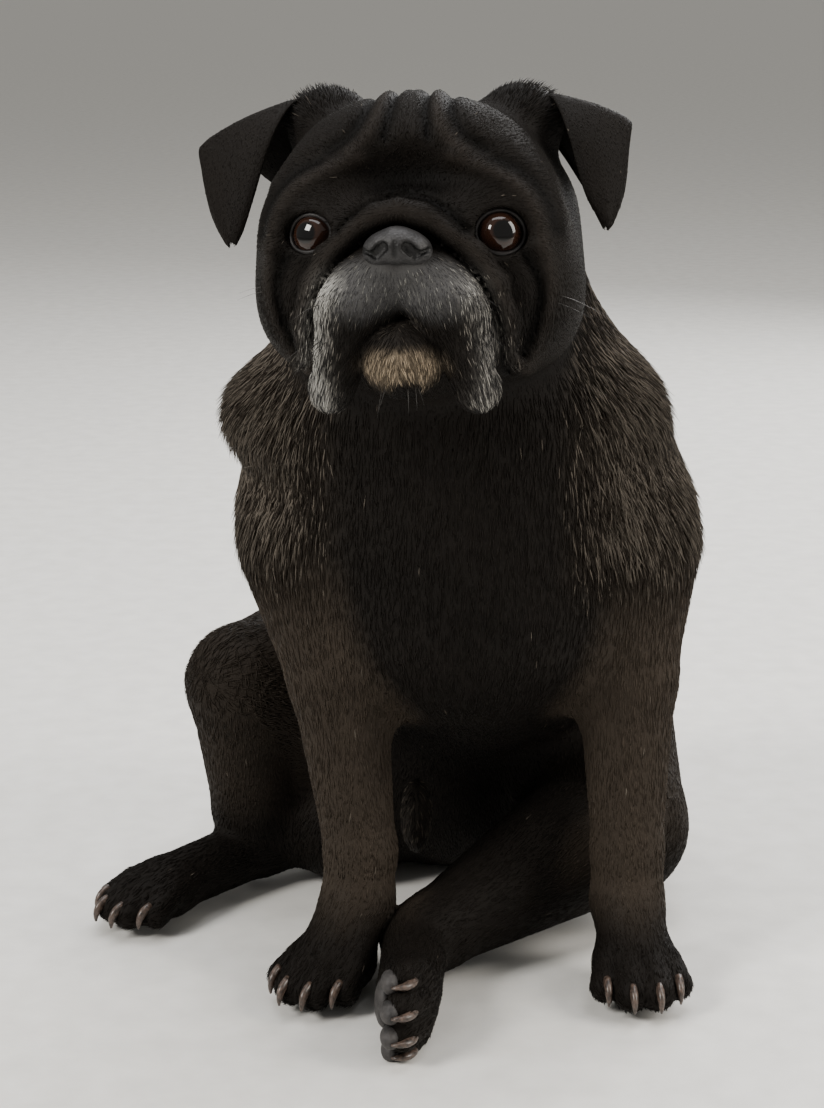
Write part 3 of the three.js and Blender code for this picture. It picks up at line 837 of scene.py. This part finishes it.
class Finish:
    """A material on one Principled shader."""

    def __init__(self, name, **constants):
        self.material = bpy.data.materials.new(name)
        self.material.use_nodes = True
        self.tree = self.material.node_tree
        self.shader = self.tree.nodes["Principled BSDF"]
        for words, value in constants.items():
            self.shader.inputs[words.replace("_", " ").title().replace("Ior", "IOR")].default_value = value

    def node(self, kind, settings=None, output=0, **links):
        """Adds a node, sets its settings and then its sockets, and gives one of its outputs."""
        node = self.tree.nodes.new(kind)
        for word, value in (settings or {}).items():
            if word == "stops":
                fill_ramp(node.color_ramp, value)
            else:
                setattr(node, word, value)
        for word, value in links.items():
            key = int(word[1:]) if word[0] == "i" and word[1:].isdigit() else word.replace("_", " ").title()
            if isinstance(value, Socket):
                self.tree.links.new(value.output, node.inputs[key])
            else:
                node.inputs[key].default_value = value
        return Socket(self.tree, node.outputs[output])

    def attribute(self, name, output="Color"):
        return self.node("ShaderNodeAttribute", {"attribute_name": name}, output)

    def place(self):
        return self.node("ShaderNodeTexCoord", output="Object")

    def noise(self, scale, detail=2.0):
        return self.node("ShaderNodeTexNoise", None, "Fac", Vector=self.place(), Scale=scale, Detail=detail)

    def pebbles(self, scale):
        return self.node("ShaderNodeTexVoronoi", None, "Distance", Vector=self.place(), Scale=scale)

    def graded(self, stops, amount):
        """The colour that a ramp of (place, colour) stops has at an amount."""
        return self.node("ShaderNodeValToRGB", {"stops": stops}, "Color", Fac=amount)

    def tinted(self, colour, amount):
        """A colour made lighter or darker by an amount."""
        return self.node("ShaderNodeVectorMath", {"operation": "SCALE"}, "Vector", i0=colour, Scale=amount)

    def feed(self, words, value):
        self.tree.links.new(value.output, self.shader.inputs[words])

    def bump(self, height, strength, distance):
        links = {"Height": height, "Strength": strength, "Distance": distance}
        self.feed("Normal", self.node("ShaderNodeBump", None, "Normal", **links))


def fill_ramp(ramp, stops):
    while len(ramp.elements) < len(stops):
        ramp.elements.new(1.0)
    for element, (at, colour) in zip(ramp.elements, stops):
        element.position = at
        element.color = (*colour, 1.0)


def coat_finish(name, roughness, hair_scale, bump_height):
    finish = Finish(name, roughness=roughness, specular_ior_level=COAT_SHINE)
    streak = finish.noise(hair_scale, 3.0)
    broad = finish.noise(LOCK_SCALE)
    finish.feed("Base Color", finish.tinted(finish.attribute("marking"), streak * 0.5 + broad * 0.7 + 0.4))
    finish.bump(streak, 0.5, bump_height)
    return finish.material


COAT_SHINE = 0.07
LOCK_SCALE = 28.0
skin_finish = coat_finish("short_black_coat", 0.62, 1400.0, 0.0006)
tuft_finish = coat_finish("coat_tufts", 0.5, 900.0, 0.0002)


# Skin object
skin = make_mesh("skin", points, quads)
paint(skin, skin_colours)
unwrap(skin)
skin.data.materials.append(skin_finish)
flesh_nodes = [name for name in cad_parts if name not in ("eye_left", "eye_right", "nose")]
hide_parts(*flesh_nodes)
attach(skin, "root")

# Coat: solid tufts rooted on the skin, that lie the way the hair grows. Densities are in tufts per square mm.
TRIANGLES_PER_PIECE = 190000
FACE_DENSITY = 0.80
FOOT_DENSITY = 0.42
RUFF_DENSITY = 0.80
BODY_DENSITY = 0.31
BODY_HAIR = 5.6
SHORTER_LOW_DOWN = 2.2
LONGER_ON_RUFF = 6.4
FACE_HAIR = 2.3
SHORTER_ON_EAR = 0.9
LONGER_ON_LIPS = 1.2
LONGER_BEHIND_EAR = 5.0
TUFT_WIDTH = 0.48
WIDER_WITH_LENGTH = 0.04
FACE_TUFT_WIDTH = 0.44
LOWEST_ROOT = 1.2
BARE_LID = 1.6
TUFT_OFF_FLOOR = 0.15
UNDER_LEATHER = (NOSE_AT, (13, 9, 8.5))
EAR_ROOT = ((40, 46, 50), (20, 20, 16))


def face_share(p, ear_mask):
    """1 on the head and ears, 0 on the body."""
    return np.maximum(fade(head(p), 1, 8), ear_mask)


def limb_lie(p, stations):
    """The way down a leg at each place, and how far the place is from it."""
    best = np.full(len(p), 1e9)
    lie = np.zeros_like(p)
    for (a, ra), (b, rb) in zip(stations, stations[1:]):
        d = limb(p, a, b, ra, rb)
        way = unit(np.array(b, float) - np.array(a, float))
        nearer = d < best
        lie[nearer] = way
        best = np.minimum(best, d)
    return lie, best


def coat_lie(p):
    """The way the hair lies at each place, before it is laid on the skin."""
    q = in_head(p)
    side = np.sign(p[:, 0] + 8)
    back = fade(p[:, 1], 150, 70)
    trunk_lie = np.column_stack([side * 0.25 * near_ruff(p), 0.15 + 0.5 * back, -1.0 + 0.1 * back])
    parts = [(trunk_lie, trunk(p))]
    for name, stations in LEGS.items():
        lie, d = limb_lie(p, stations)
        parts.append((lie, d))
        parts.append((np.tile(PAWS[name][1] @ [0, -1, -0.25], (len(p), 1)), paw(p, name)))
    parts.append(limb_lie(p, TAIL))
    from_nose = unit(q - np.array([0, -34, 6.0])) + np.array([0, 0.35, 0.0])
    down = fade(q[:, 2], -26, -8)[:, None] * fade(q[:, 1], 6, 20)[:, None]
    hanging = np.column_stack([0.25 * np.sign(q[:, 0]), np.full(len(q), 0.2), -np.ones(len(q))])
    head_lie = from_nose * (1 - down) + down * hanging
    parts.append((head_lie @ HEAD_TURN.T, head(p) - 2))
    nearest = np.min([d for _, d in parts], axis=0)
    total = np.zeros_like(p)
    for lie, d in parts:
        total += unit(lie) * np.exp(-(d - nearest) / 5.0)[:, None]
    return total


def coat_density(p, ear_mask):
    """How many tufts grow on a square millimetre at each place."""
    face = face_share(p, ear_mask)
    ruff = near_ruff(p) * (1 - face)
    low = fade(p[:, 2], 60, 120) * (1 - face)
    density = BODY_DENSITY + (FOOT_DENSITY - BODY_DENSITY) * low + (RUFF_DENSITY - BODY_DENSITY) * ruff
    density = density * (1 - face) + FACE_DENSITY * face
    return density * np.where(face > 0.5, 0.45 + 0.55 * fade(in_head(p)[:, 1], 20, 60), 1)


def roots():
    """Places spread over the skin: points, normals, UVs, the ear mask and the lie of an ear's hair."""
    mesh = skin.data
    corner_uv = np.empty(len(mesh.loops) * 2, np.float32)
    mesh.uv_layers["OFBake"].data.foreach_get("uv", corner_uv)
    corner_uv = corner_uv.reshape(-1, 4, 2)
    corners = np.empty(len(mesh.loops), np.int32)
    mesh.loops.foreach_get("vertex_index", corners)
    corners = corners.reshape(-1, 4)
    normals = np.empty(len(mesh.vertices) * 3, np.float32)
    mesh.vertices.foreach_get("normal", normals)
    normals = normals.reshape(-1, 3)
    picks = np.array([(0, 1, 2), (0, 2, 3)])
    triangles = corners[:, picks].reshape(-1, 3)
    uvs = corner_uv[:, picks].reshape(-1, 3, 2)
    a, b, c = (points[triangles[:, k]] for k in range(3))
    area = np.linalg.norm(np.cross(b - a, c - a), axis=1) / 2
    ear_mask = is_ear[triangles[:, 0]] * 1.0
    wanted = area * coat_density((a + b + c) / 3, ear_mask)
    count = np.floor(wanted + rng.random(len(wanted))).astype(int)
    pick = np.repeat(np.arange(len(triangles)), count)
    u, v = rng.random((2, len(pick)))
    over = u + v > 1
    u[over], v[over] = 1 - u[over], 1 - v[over]
    weights = np.column_stack([1 - u - v, u, v])
    at = (points[triangles[pick]] * weights[..., None]).sum(1)
    normal = unit((normals[triangles[pick]] * weights[..., None]).sum(1))
    uv = (uvs[pick] * weights[..., None]).sum(1)
    lie = (ear_lies[triangles[pick]] * weights[..., None]).sum(1)
    return at, normal, uv, ear_mask[pick], lie


def has_hair(at):
    """False low on the feet, round the eyeballs and under the nose leather."""
    keep = at[:, 2] > LOWEST_ROOT
    for side in (1, -1):
        keep &= np.linalg.norm(at - on_dog(EYE_AT * [side, 1, 1]), axis=1) > EYE_RADIUS + BARE_LID
    return keep & (egg(in_head(at), *UNDER_LEATHER) > 0.3)


def tuft_measures(at, on_ear):
    """The length, width and rise of each tuft, and how much it belongs to the ruff."""
    face = face_share(at, on_ear)
    ruff = near_ruff(at) * (1 - face)
    low = fade(at[:, 2], 55, 130) * (1 - face)
    length = BODY_HAIR - SHORTER_LOW_DOWN * low + LONGER_ON_RUFF * ruff
    length = length * (1 - face) + (FACE_HAIR - SHORTER_ON_EAR * on_ear) * face
    q = in_head(at)
    lip_tufts = fade(q[:, 2], -34, -20) * fade(q[:, 1], 5, 20) * face
    ear_root = blot(mirrored(q), *EAR_ROOT) * (1 - on_ear)
    length += LONGER_ON_LIPS * lip_tufts + LONGER_BEHIND_EAR * ear_root
    length *= rng.uniform(0.7, 1.25, len(at))
    width = TUFT_WIDTH + WIDER_WITH_LENGTH * length
    width = width * (1 - face) + FACE_TUFT_WIDTH * face
    width *= rng.uniform(0.7, 1.2, len(at))
    rise = 0.15 + 0.16 * ruff + 0.10 * lip_tufts + 0.40 * ear_root
    rise = rise + rng.normal(0, 0.035, len(at)) - 0.03 * face
    return length, width, rise, ruff


def laid(lie, normal, ruff):
    """The lie with some disorder, brought down onto the skin."""
    lie = unit(lie + rng.normal(0, 0.10, lie.shape) + ruff[:, None] * rng.normal(0, 0.18, lie.shape))
    return unit(lie - normal * (lie * normal).sum(1, keepdims=True))


# A tuft is a three-sided sliver: (along, thickness) of its two rings, and a tip
TUFT_RINGS = ((-0.06, 0.75), (0.5, 0.8))
TUFT_CORNERS = ((0.0, 1.0), (-0.87, -0.5), (0.87, -0.5))
TUFT_FLATNESS = 0.22
TUFT_SIDES = [(0, 1, 4), (0, 4, 3), (1, 2, 5), (1, 5, 4), (2, 0, 3), (2, 3, 5)]
TUFT_TIP = [(3, 4, 6), (4, 5, 6), (5, 3, 6)]
TUFT_FACES = np.array([*TUFT_SIDES, *TUFT_TIP, (2, 1, 0)])
TUFT_POINTS = 7


def tufts(at, normal, lie, length, width, rise):
    """The seven points of each tuft."""
    across = np.cross(normal, lie)
    corners = []
    for along, thick in TUFT_RINGS:
        lifted = rise * along - 0.10 * along * along
        spine = at + lie * (length * along)[:, None] + normal * (length * lifted)[:, None]
        for side_way, up_way in TUFT_CORNERS:
            sideways = across * (side_way * width * thick * 0.5)[:, None]
            upward = normal * (up_way * width * thick * TUFT_FLATNESS)[:, None]
            corners.append(spine + (sideways + upward))
    tip = at + lie * length[:, None] + normal * (length * (rise - 0.12))[:, None]
    solid = np.stack([*corners, tip], 1)
    solid[..., 2] = np.maximum(solid[..., 2], TUFT_OFF_FLOOR)
    return solid


def tuft_colours(at):
    base, pale, share = colours_with_painted_light(at)
    is_pale = rng.random(len(at)) < share
    return np.where(is_pale[:, None], pale, base) * rng.uniform(0.82, 1.2, len(at))[:, None]


rooted = roots()
keep = has_hair(rooted[0])
at, normal, uv, on_ear, ear_lie = (values[keep] for values in rooted)
lie = np.where(on_ear[:, None] > 0.5, ear_lie, coat_lie(at))
length, width, rise, ruff = tuft_measures(at, on_ear)
lie = laid(lie, normal, ruff)
tuft_points = tufts(at, normal, lie, length, width, rise)
tuft_colour = tuft_colours(at)

# Each tuft bakes from a small patch of the skin's UV map, round its own root
PATCH = 0.003
PATCH_CORNERS = [(0, 1), (-0.87, -0.5), (0.87, -0.5), (0, 0.5), (-0.4, -0.25), (0.4, -0.25), (0, 0)]
patch = np.array(PATCH_CORNERS) * PATCH / 2
per_piece = TRIANGLES_PER_PIECE // len(TUFT_FACES)
order = np.argsort(at[:, 2])
for number, start in enumerate(range(0, len(at), per_piece), 1):
    part = order[start : start + per_piece]
    corner_points = tuft_points[part].reshape(-1, 3)
    faces = (TUFT_FACES[None] + (np.arange(len(part)) * TUFT_POINTS)[:, None, None]).reshape(-1, 3)
    piece = make_mesh(f"coat_{number}", corner_points, faces)
    paint(piece, np.repeat(tuft_colour[part], TUFT_POINTS, 0))
    layer = piece.data.uv_layers.new(name="OFBake")
    corner_uv = (uv[part][:, None] + patch[None])[:, TUFT_FACES].reshape(-1, 2)
    layer.data.foreach_set("uv", corner_uv.astype(np.float32).ravel())
    piece.data.materials.append(tuft_finish)
    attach(piece, "root")


# Eyes: a ball with a bulging window, its rings of colour by the angle from where it looks
WINDOW_BULGE = 1.1
BALL_INSET = 0.4


def eyeball(side, turns=72, rings=60):
    """The points and faces of an eyeball, and each point's angle from where the eye looks."""
    looks = EYE_LOOKS * [side, 1, 1]
    angle = np.linspace(0, math.pi, rings)
    bulge = WINDOW_BULGE * fade(angle, math.radians(20), math.radians(46))
    radius = EYE_RADIUS - BALL_INSET + bulge
    u = unit(np.cross(looks, [0, 0, 1.0]))
    v = np.cross(u, looks)
    around = np.linspace(0, 2 * math.pi, turns, endpoint=False)
    circle = np.cos(around)[:, None] * u + np.sin(around)[:, None] * v
    body = [(looks * math.cos(a) + circle * math.sin(a)) * r for a, r in zip(angle[1:-1], radius[1:-1])]
    ball = np.vstack([[looks * radius[0]], np.concatenate(body), [-looks * radius[-1]]])
    angles = np.concatenate([[0], np.repeat(angle[1:-1], turns), [math.pi]])
    faces = []
    last = len(ball) - 1
    for k in range(turns):
        n = (k + 1) % turns
        faces.append((0, 1 + n, 1 + k))
        for r in range(rings - 3):
            row = 1 + r * turns
            faces.append((row + k, row + n, row + turns + n, row + turns + k))
        row = 1 + (rings - 3) * turns
        faces.append((row + k, row + n, last))
    return on_dog(EYE_AT * [side, 1, 1] + ball), faces, angles


def eye_finish():
    finish = Finish("wet_brown_eye", roughness=0.06, specular_ior_level=0.42)
    angle = finish.attribute("from_pupil", "Fac")
    fibres = finish.noise(900.0, 4.0)
    where = angle + (fibres - 0.5) * 0.02
    stops = [
        (0.0, (0.001, 0.0008, 0.0008)),
        (0.10, (0.001, 0.0008, 0.0008)),
        (0.125, (0.019, 0.0080, 0.0048)),
        (0.22, (0.012, 0.0055, 0.0036)),
        (0.285, (0.003, 0.0018, 0.0013)),
        (0.31, (0.02, 0.013, 0.012)),
        (0.34, (0.20, 0.15, 0.14)),
    ]
    finish.feed("Base Color", finish.graded(stops, where))
    return finish.material


eye_material = eye_finish()
for side, name in ((1, "eye_left"), (-1, "eye_right")):
    ball_points, faces, angles = eyeball(side)
    ball = polygons("ball_of_" + name, ball_points, faces)
    layer = ball.data.attributes.new("from_pupil", "FLOAT", "POINT")
    layer.data.foreach_set("value", (angles / math.pi).astype(np.float32))
    ball.data.materials.append(eye_material)
    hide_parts(name)
    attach(ball, "root")


# Nose leather
NOSTRIL = ((4.6, -34.6, -9), (7.2, -33.0, -11.5), 2.2, 1.9)
NOSTRIL_SHADE = ((4.6, -35, -9), (7.4, -33.5, -11.5), 2.1, 1.9)
NOSTRIL_SLIT = ((7.2, -33.5, -11.5), (13, -29, -9), 1.2, 0.7)
NOSE_SPLIT = ((0, -35.8, -7), (0, -33.4, -18), 0.6, 0.9)


def nose_field(p):
    q = in_head(p)
    s = mirrored(q)
    d = melt(3, egg(q, (0, -27, -8), (9.3, 8.5, 7.4)), egg(s, (7, -27, -9.5), (5.6, 6.8, 5.6)))
    d = carve(0.8, d, limb(s, *NOSTRIL))
    d = carve(0.8, d, limb(s, *NOSTRIL_SLIT))
    return carve(1.0, d, limb(s, *NOSE_SPLIT))


NOSE_REACH = 17
NOSE_STEP = 0.6
nose_axes = [np.arange(c - NOSE_REACH, c + NOSE_REACH, NOSE_STEP) for c in on_dog(NOSE_AT)]
nose_points, nose_quads = surface(nose_field, nose_axes)
nose = make_mesh("nose_leather", nose_points, nose_quads)
nose_side = mirrored(in_head(nose_points))
# Painted shade in the nostrils, their slits and the split down the middle of the nose, stored for the nose's
# material
in_nostril = fade(limb(nose_side, *NOSTRIL_SHADE), 0.1, 1.1)
in_slit = fade(limb(nose_side, *NOSTRIL_SLIT), 0.1, 0.9)
in_split = fade(limb(nose_side, *NOSE_SPLIT), 0.0, 0.8)
painted_nostril_shade = 1 - 0.97 * np.maximum.reduce([in_nostril, in_slit, 0.8 * in_split])
paint(nose, painted_nostril_shade[:, None] * np.ones(3))
nose_look = Finish("nose_leather", roughness=0.5, specular_ior_level=0.25)
pebbles = nose_look.pebbles(1100.0)
dust = nose_look.noise(240.0, 3.0)
nose_stops = [(0.3, (0.012, 0.0115, 0.0118)), (0.75, (0.036, 0.035, 0.036))]
shade = nose_look.graded(nose_stops, dust)
# The leather's colour darkened by the painted nostril shade
nose_look.feed("Base Color", nose_look.tinted(shade, nose_look.attribute("marking", "Fac")))
nose_look.bump(pebbles, 0.5, 0.0004)
nose.data.materials.append(nose_look.material)
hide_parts("nose")
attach(nose, "root")


# Claws: short curved cones out of each toe
def horn_finish():
    finish = Finish("dark_horn", roughness=0.35, specular_ior_level=0.5)
    grain = finish.noise(700.0, 4.0)
    stops = [(0.35, (0.020, 0.014, 0.011)), (0.7, (0.105, 0.072, 0.056))]
    finish.feed("Base Color", finish.graded(stops, grain))
    finish.bump(grain, 0.3, 0.0002)
    return finish.material


horn = horn_finish()
CLAW_LENGTH = 10
CLAW_RADIUS = 2.2
CLAW_RINGS = 9
CLAW_SIDES = 12
DEWCLAW_AT = (-37.0, 46.0, 20.0)
DEWCLAW_SCALE = 0.8
CLAW_OFF_FLOOR = 0.2


def claw(x, y):
    """The points and faces of one claw, in front of a toe at x, y of its paw."""
    t = np.linspace(0, 1, CLAW_RINGS)[:, None]
    a, b, c = np.array([[x, y - 3, 1.5], [x, y - 10.5, 0], [x, y - CLAW_LENGTH, -7.2]])
    spine = a * (1 - t) ** 2 + 2 * b * t * (1 - t) + c * t * t
    way = unit(np.gradient(spine, axis=0))
    side = np.array([1.0, 0, 0])
    up = unit(np.cross(way, side))
    radius = CLAW_RADIUS * (1 - t**3 * 0.75)
    around = np.linspace(0, 2 * math.pi, CLAW_SIDES, endpoint=False)
    ring = [spine + radius * (math.cos(w) * side * 0.8 + math.sin(w) * up) for w in around]
    last_ring = (CLAW_RINGS - 1) * CLAW_SIDES
    root_cap = tuple(range(CLAW_SIDES - 1, -1, -1))
    tip_cap = tuple(range(last_ring, last_ring + CLAW_SIDES))
    return np.stack(ring, 1).reshape(-1, 3), [*tube_faces(CLAW_RINGS, CLAW_SIDES), root_cap, tip_cap]


for name, (where, turn) in PAWS.items():
    placed, faces = joined([claw(x, y) for x, y, _ in TOES])
    placed = placed @ turn.T + np.array(where, float)
    if name == "fore_right":
        dewclaw, dewclaw_faces = claw(0, 0)
        dewclaw = dewclaw * DEWCLAW_SCALE @ turned(-20).T + np.array(DEWCLAW_AT)
        placed, faces = joined([(placed, faces), (dewclaw, dewclaw_faces)])
    placed[:, 2] = np.maximum(placed[:, 2], CLAW_OFF_FLOOR)
    claws = polygons("claws_" + name, placed, faces)
    claws.data.materials.append(horn)
    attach(claws, "root")

# Pads under the foot that lies on its side
PADS = [
    ((0, 3, -10), (10.5, 9, 4.2)),
    ((-14.5, -9, -7.5), (4.8, 6.5, 4)),
    ((-5.3, -17, -7.5), (4.8, 6.5, 4.2)),
    ((5.3, -17, -7.5), (4.8, 6.5, 4.2)),
    ((14.5, -9, -7.5), (4.8, 6.5, 4)),
]
PAD_OFF_FLOOR = 0.4
PAD_REACH = (22, 34, 26)
PAD_STEP = 0.8


def pad_field(p):
    q = paw_local(p, "hind_left")
    return np.maximum(melt(1.0, *[egg(q, *pad) for pad in PADS]), PAD_OFF_FLOOR - p[:, 2])


pad_middle = PAWS["hind_left"][0]
pad_axes = [np.arange(c - r, c + r, PAD_STEP) for c, r in zip(pad_middle, PAD_REACH)]
pad_points, pad_quads = surface(pad_field, pad_axes)
pads = make_mesh("sole_pads", pad_points, pad_quads)
pad_look = Finish("grey_pad_leather", roughness=0.6, specular_ior_level=0.35)
pad_grain = pad_look.pebbles(1300.0)
pad_stops = [(0.3, (0.014, 0.013, 0.013)), (0.7, (0.045, 0.041, 0.040))]
pad_look.feed("Base Color", pad_look.graded(pad_stops, pad_look.noise(260.0)))
pad_look.bump(pad_grain, 0.4, 0.0003)
pads.data.materials.append(pad_look.material)
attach(pads, "root")


# Whiskers: thin, tapering and bent, rooted in the flews, the cheeks and the chin
WHISKER_RINGS = 7
WHISKER_RADIUS = 0.16
THIRDS = (0, 2.09, 4.19)


def bristle(root, way, length, radius):
    """A bent three-sided hair: its points and faces."""
    t = np.linspace(0, 1, WHISKER_RINGS)[:, None]
    droop = np.array([0, 0, -0.25]) * length
    spine = root + way * length * t + droop * t * t
    side = unit(np.cross(way, [0.1, 0.2, 1.0]))
    up = np.cross(side, way)
    r = radius * (1 - 0.9 * t)
    ring = [spine + r * (math.cos(w) * side + math.sin(w) * up) for w in THIRDS]
    last = 3 * (WHISKER_RINGS - 1)
    faces = tube_faces(WHISKER_RINGS, 3) + [(2, 1, 0), (last, last + 1, last + 2)]
    return np.stack(ring, 1).reshape(-1, 3), faces


# Each spot: its place on the dog's left, how many whiskers each side has, and their length
WHISKER_SPOTS = [
    ((24, -24, -26), 7, 13),
    ((28, -18, -42), 6, 13),
    ((50, 8, -22), 2, 18),
    ((6, -20, -56), 3, 8),
]
hairs = []
for spot, number, long in WHISKER_SPOTS:
    for side in (1, -1):
        for _ in range(number):
            root = (np.array(spot, float) + rng.normal(0, 2.4, 3)) * [side, 1, 1]
            way = unit(root - np.array([0, 12, -16.0]) + rng.normal(0, 5, 3))
            placed = settled(skin_field, on_dog(root)[None])[0]
            hairs.append(bristle(placed, HEAD_TURN @ way, long * rng.uniform(0.7, 1.3), WHISKER_RADIUS))
whiskers = polygons("whiskers", *joined(hairs))
whisker_look = Finish("black_bristle", roughness=0.4)
whisker_stops = [(0.35, (0.008, 0.007, 0.006)), (0.7, (0.05, 0.045, 0.04))]
whisker_look.feed("Base Color", whisker_look.graded(whisker_stops, whisker_look.noise(90.0)))
whiskers.data.materials.append(whisker_look.material)
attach(whiskers, "root")

# Lid rims: a wet black cord round each opening
rim_look = Finish("wet_lid_rim", roughness=0.5, specular_ior_level=0.25)
rim_stops = [(0.3, (0.004, 0.0035, 0.0035)), (0.7, (0.012, 0.010, 0.010))]
rim_look.feed("Base Color", rim_look.graded(rim_stops, rim_look.noise(400.0)))
RIM_TURNS = 64
RIM_SIDES = 6
RIM_RADIUS = 0.9
RIM_PAST_LID = 0.1
RIM_OFF_BALL = 0.2


def lid_rim(side):
    """The points and faces of the cord round one opening. side is 1 for the dog's left."""
    across = unit(np.cross(EYE_LOOKS, [0, 0, 1.0]))
    up = np.cross(across, EYE_LOOKS)
    wide, high = (half + RIM_PAST_LID for half in EYE_WIDTHS[side])
    centre_line = []
    for w in np.linspace(0, 2 * math.pi, RIM_TURNS, endpoint=False):
        flat = wide * math.cos(w) * across + high * math.sin(w) * up
        depth = math.sqrt((EYE_RADIUS + RIM_OFF_BALL) ** 2 - flat @ flat)
        centre_line.append(flat + EYE_LOOKS * depth)
    centre_line = np.array(centre_line)
    outward = unit(centre_line)
    sideways = unit(np.cross(np.roll(centre_line, -1, 0) - np.roll(centre_line, 1, 0), outward))
    around = np.linspace(0, 5.236, RIM_SIDES)
    ring = [centre_line + RIM_RADIUS * (math.cos(w) * outward + math.sin(w) * sideways) for w in around]
    cord = np.stack(ring, 1).reshape(-1, 3)
    closed = tube_faces(RIM_TURNS + 1, RIM_SIDES)
    faces = [tuple(i % len(cord) for i in face)[:: -side] for face in closed]
    return on_dog((EYE_AT + cord) * [side, 1, 1]), faces


for side, name in ((1, "left"), (-1, "right")):
    rim = polygons("lid_rim_" + name, *lid_rim(side))
    rim.data.materials.append(rim_look.material)
    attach(rim, "root")

# Floor, light and camera
FLOOR_SIZE = 300
bpy.ops.mesh.primitive_plane_add(size=FLOOR_SIZE)
floor = bpy.context.object
floor.name = "floor"
floor_look = Finish("pale_floor", roughness=0.7)
pale_stops = [(0.3, (0.66, 0.65, 0.62)), (0.7, (0.74, 0.73, 0.70))]
floor_look.feed("Base Color", floor_look.graded(pale_stops, floor_look.noise(60.0, 3.0)))
floor.data.materials.append(floor_look.material)
floor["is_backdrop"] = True

world = bpy.data.worlds.new("soft_room")
bpy.context.scene.world = world
world.use_nodes = True
sky = world.node_tree.nodes["Background"]
sky.inputs["Color"].default_value = (0.90, 0.88, 0.84, 1)
sky.inputs["Strength"].default_value = 0.45


def lamp(name, place, target, size, power, colour=(1, 1, 1)):
    light = bpy.data.lights.new(name, "AREA")
    light.shape = "RECTANGLE"
    light.size, light.size_y = size
    light.energy = power
    light.color = colour
    lamp_object = bpy.data.objects.new(name, light)
    lamp_object.location = place
    lamp_object.rotation_euler = (Vector(target) - Vector(place)).to_track_quat("-Z", "Y").to_euler()
    bpy.context.scene.collection.objects.link(lamp_object)


lamp("window_left", (-1.5, -1.1, 1.5), (0, 0, 0.25), (0.7, 0.7), 52, (1.0, 0.97, 0.92))
lamp("window_right", (1.6, -0.5, 1.1), (0, 0, 0.2), (0.7, 1.2), 34, (1.0, 0.95, 0.88))
lamp("sky_light", (0.1, 0.3, 2.0), (0, 0.05, 0.2), (1.6, 1.6), 40, (0.98, 0.98, 1.0))
lamp("rim_back", (0.8, 1.5, 1.0), (0, 0, 0.3), (0.8, 0.8), 22)

CAMERA_AT = np.array([-26.0, -870.0, 420.0])
CAMERA_DOWN = 14.2
PHOTO_HEIGHT = 1108
FOCAL_PIXELS = 2300
SENSOR = 36.0
camera = bpy.data.cameras.new("camera")
camera.sensor_width = SENSOR
camera.lens = FOCAL_PIXELS / PHOTO_HEIGHT * SENSOR
camera.clip_start = 0.01
camera_object = bpy.data.objects.new("camera", camera)
camera_object.location = to_frame(CAMERA_AT)
camera_object.rotation_euler = (math.radians(90 - CAMERA_DOWN), 0, 0)
bpy.context.scene.collection.objects.link(camera_object)
bpy.context.scene.camera = camera_object

visual_low, visual_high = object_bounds()
sizes = {"cad": [list(cad_low), list(cad_high)], "visual": [list(visual_low), list(visual_high)]}
sizes = {key: [[float(v) for v in corner] for corner in box] for key, box in sizes.items()}
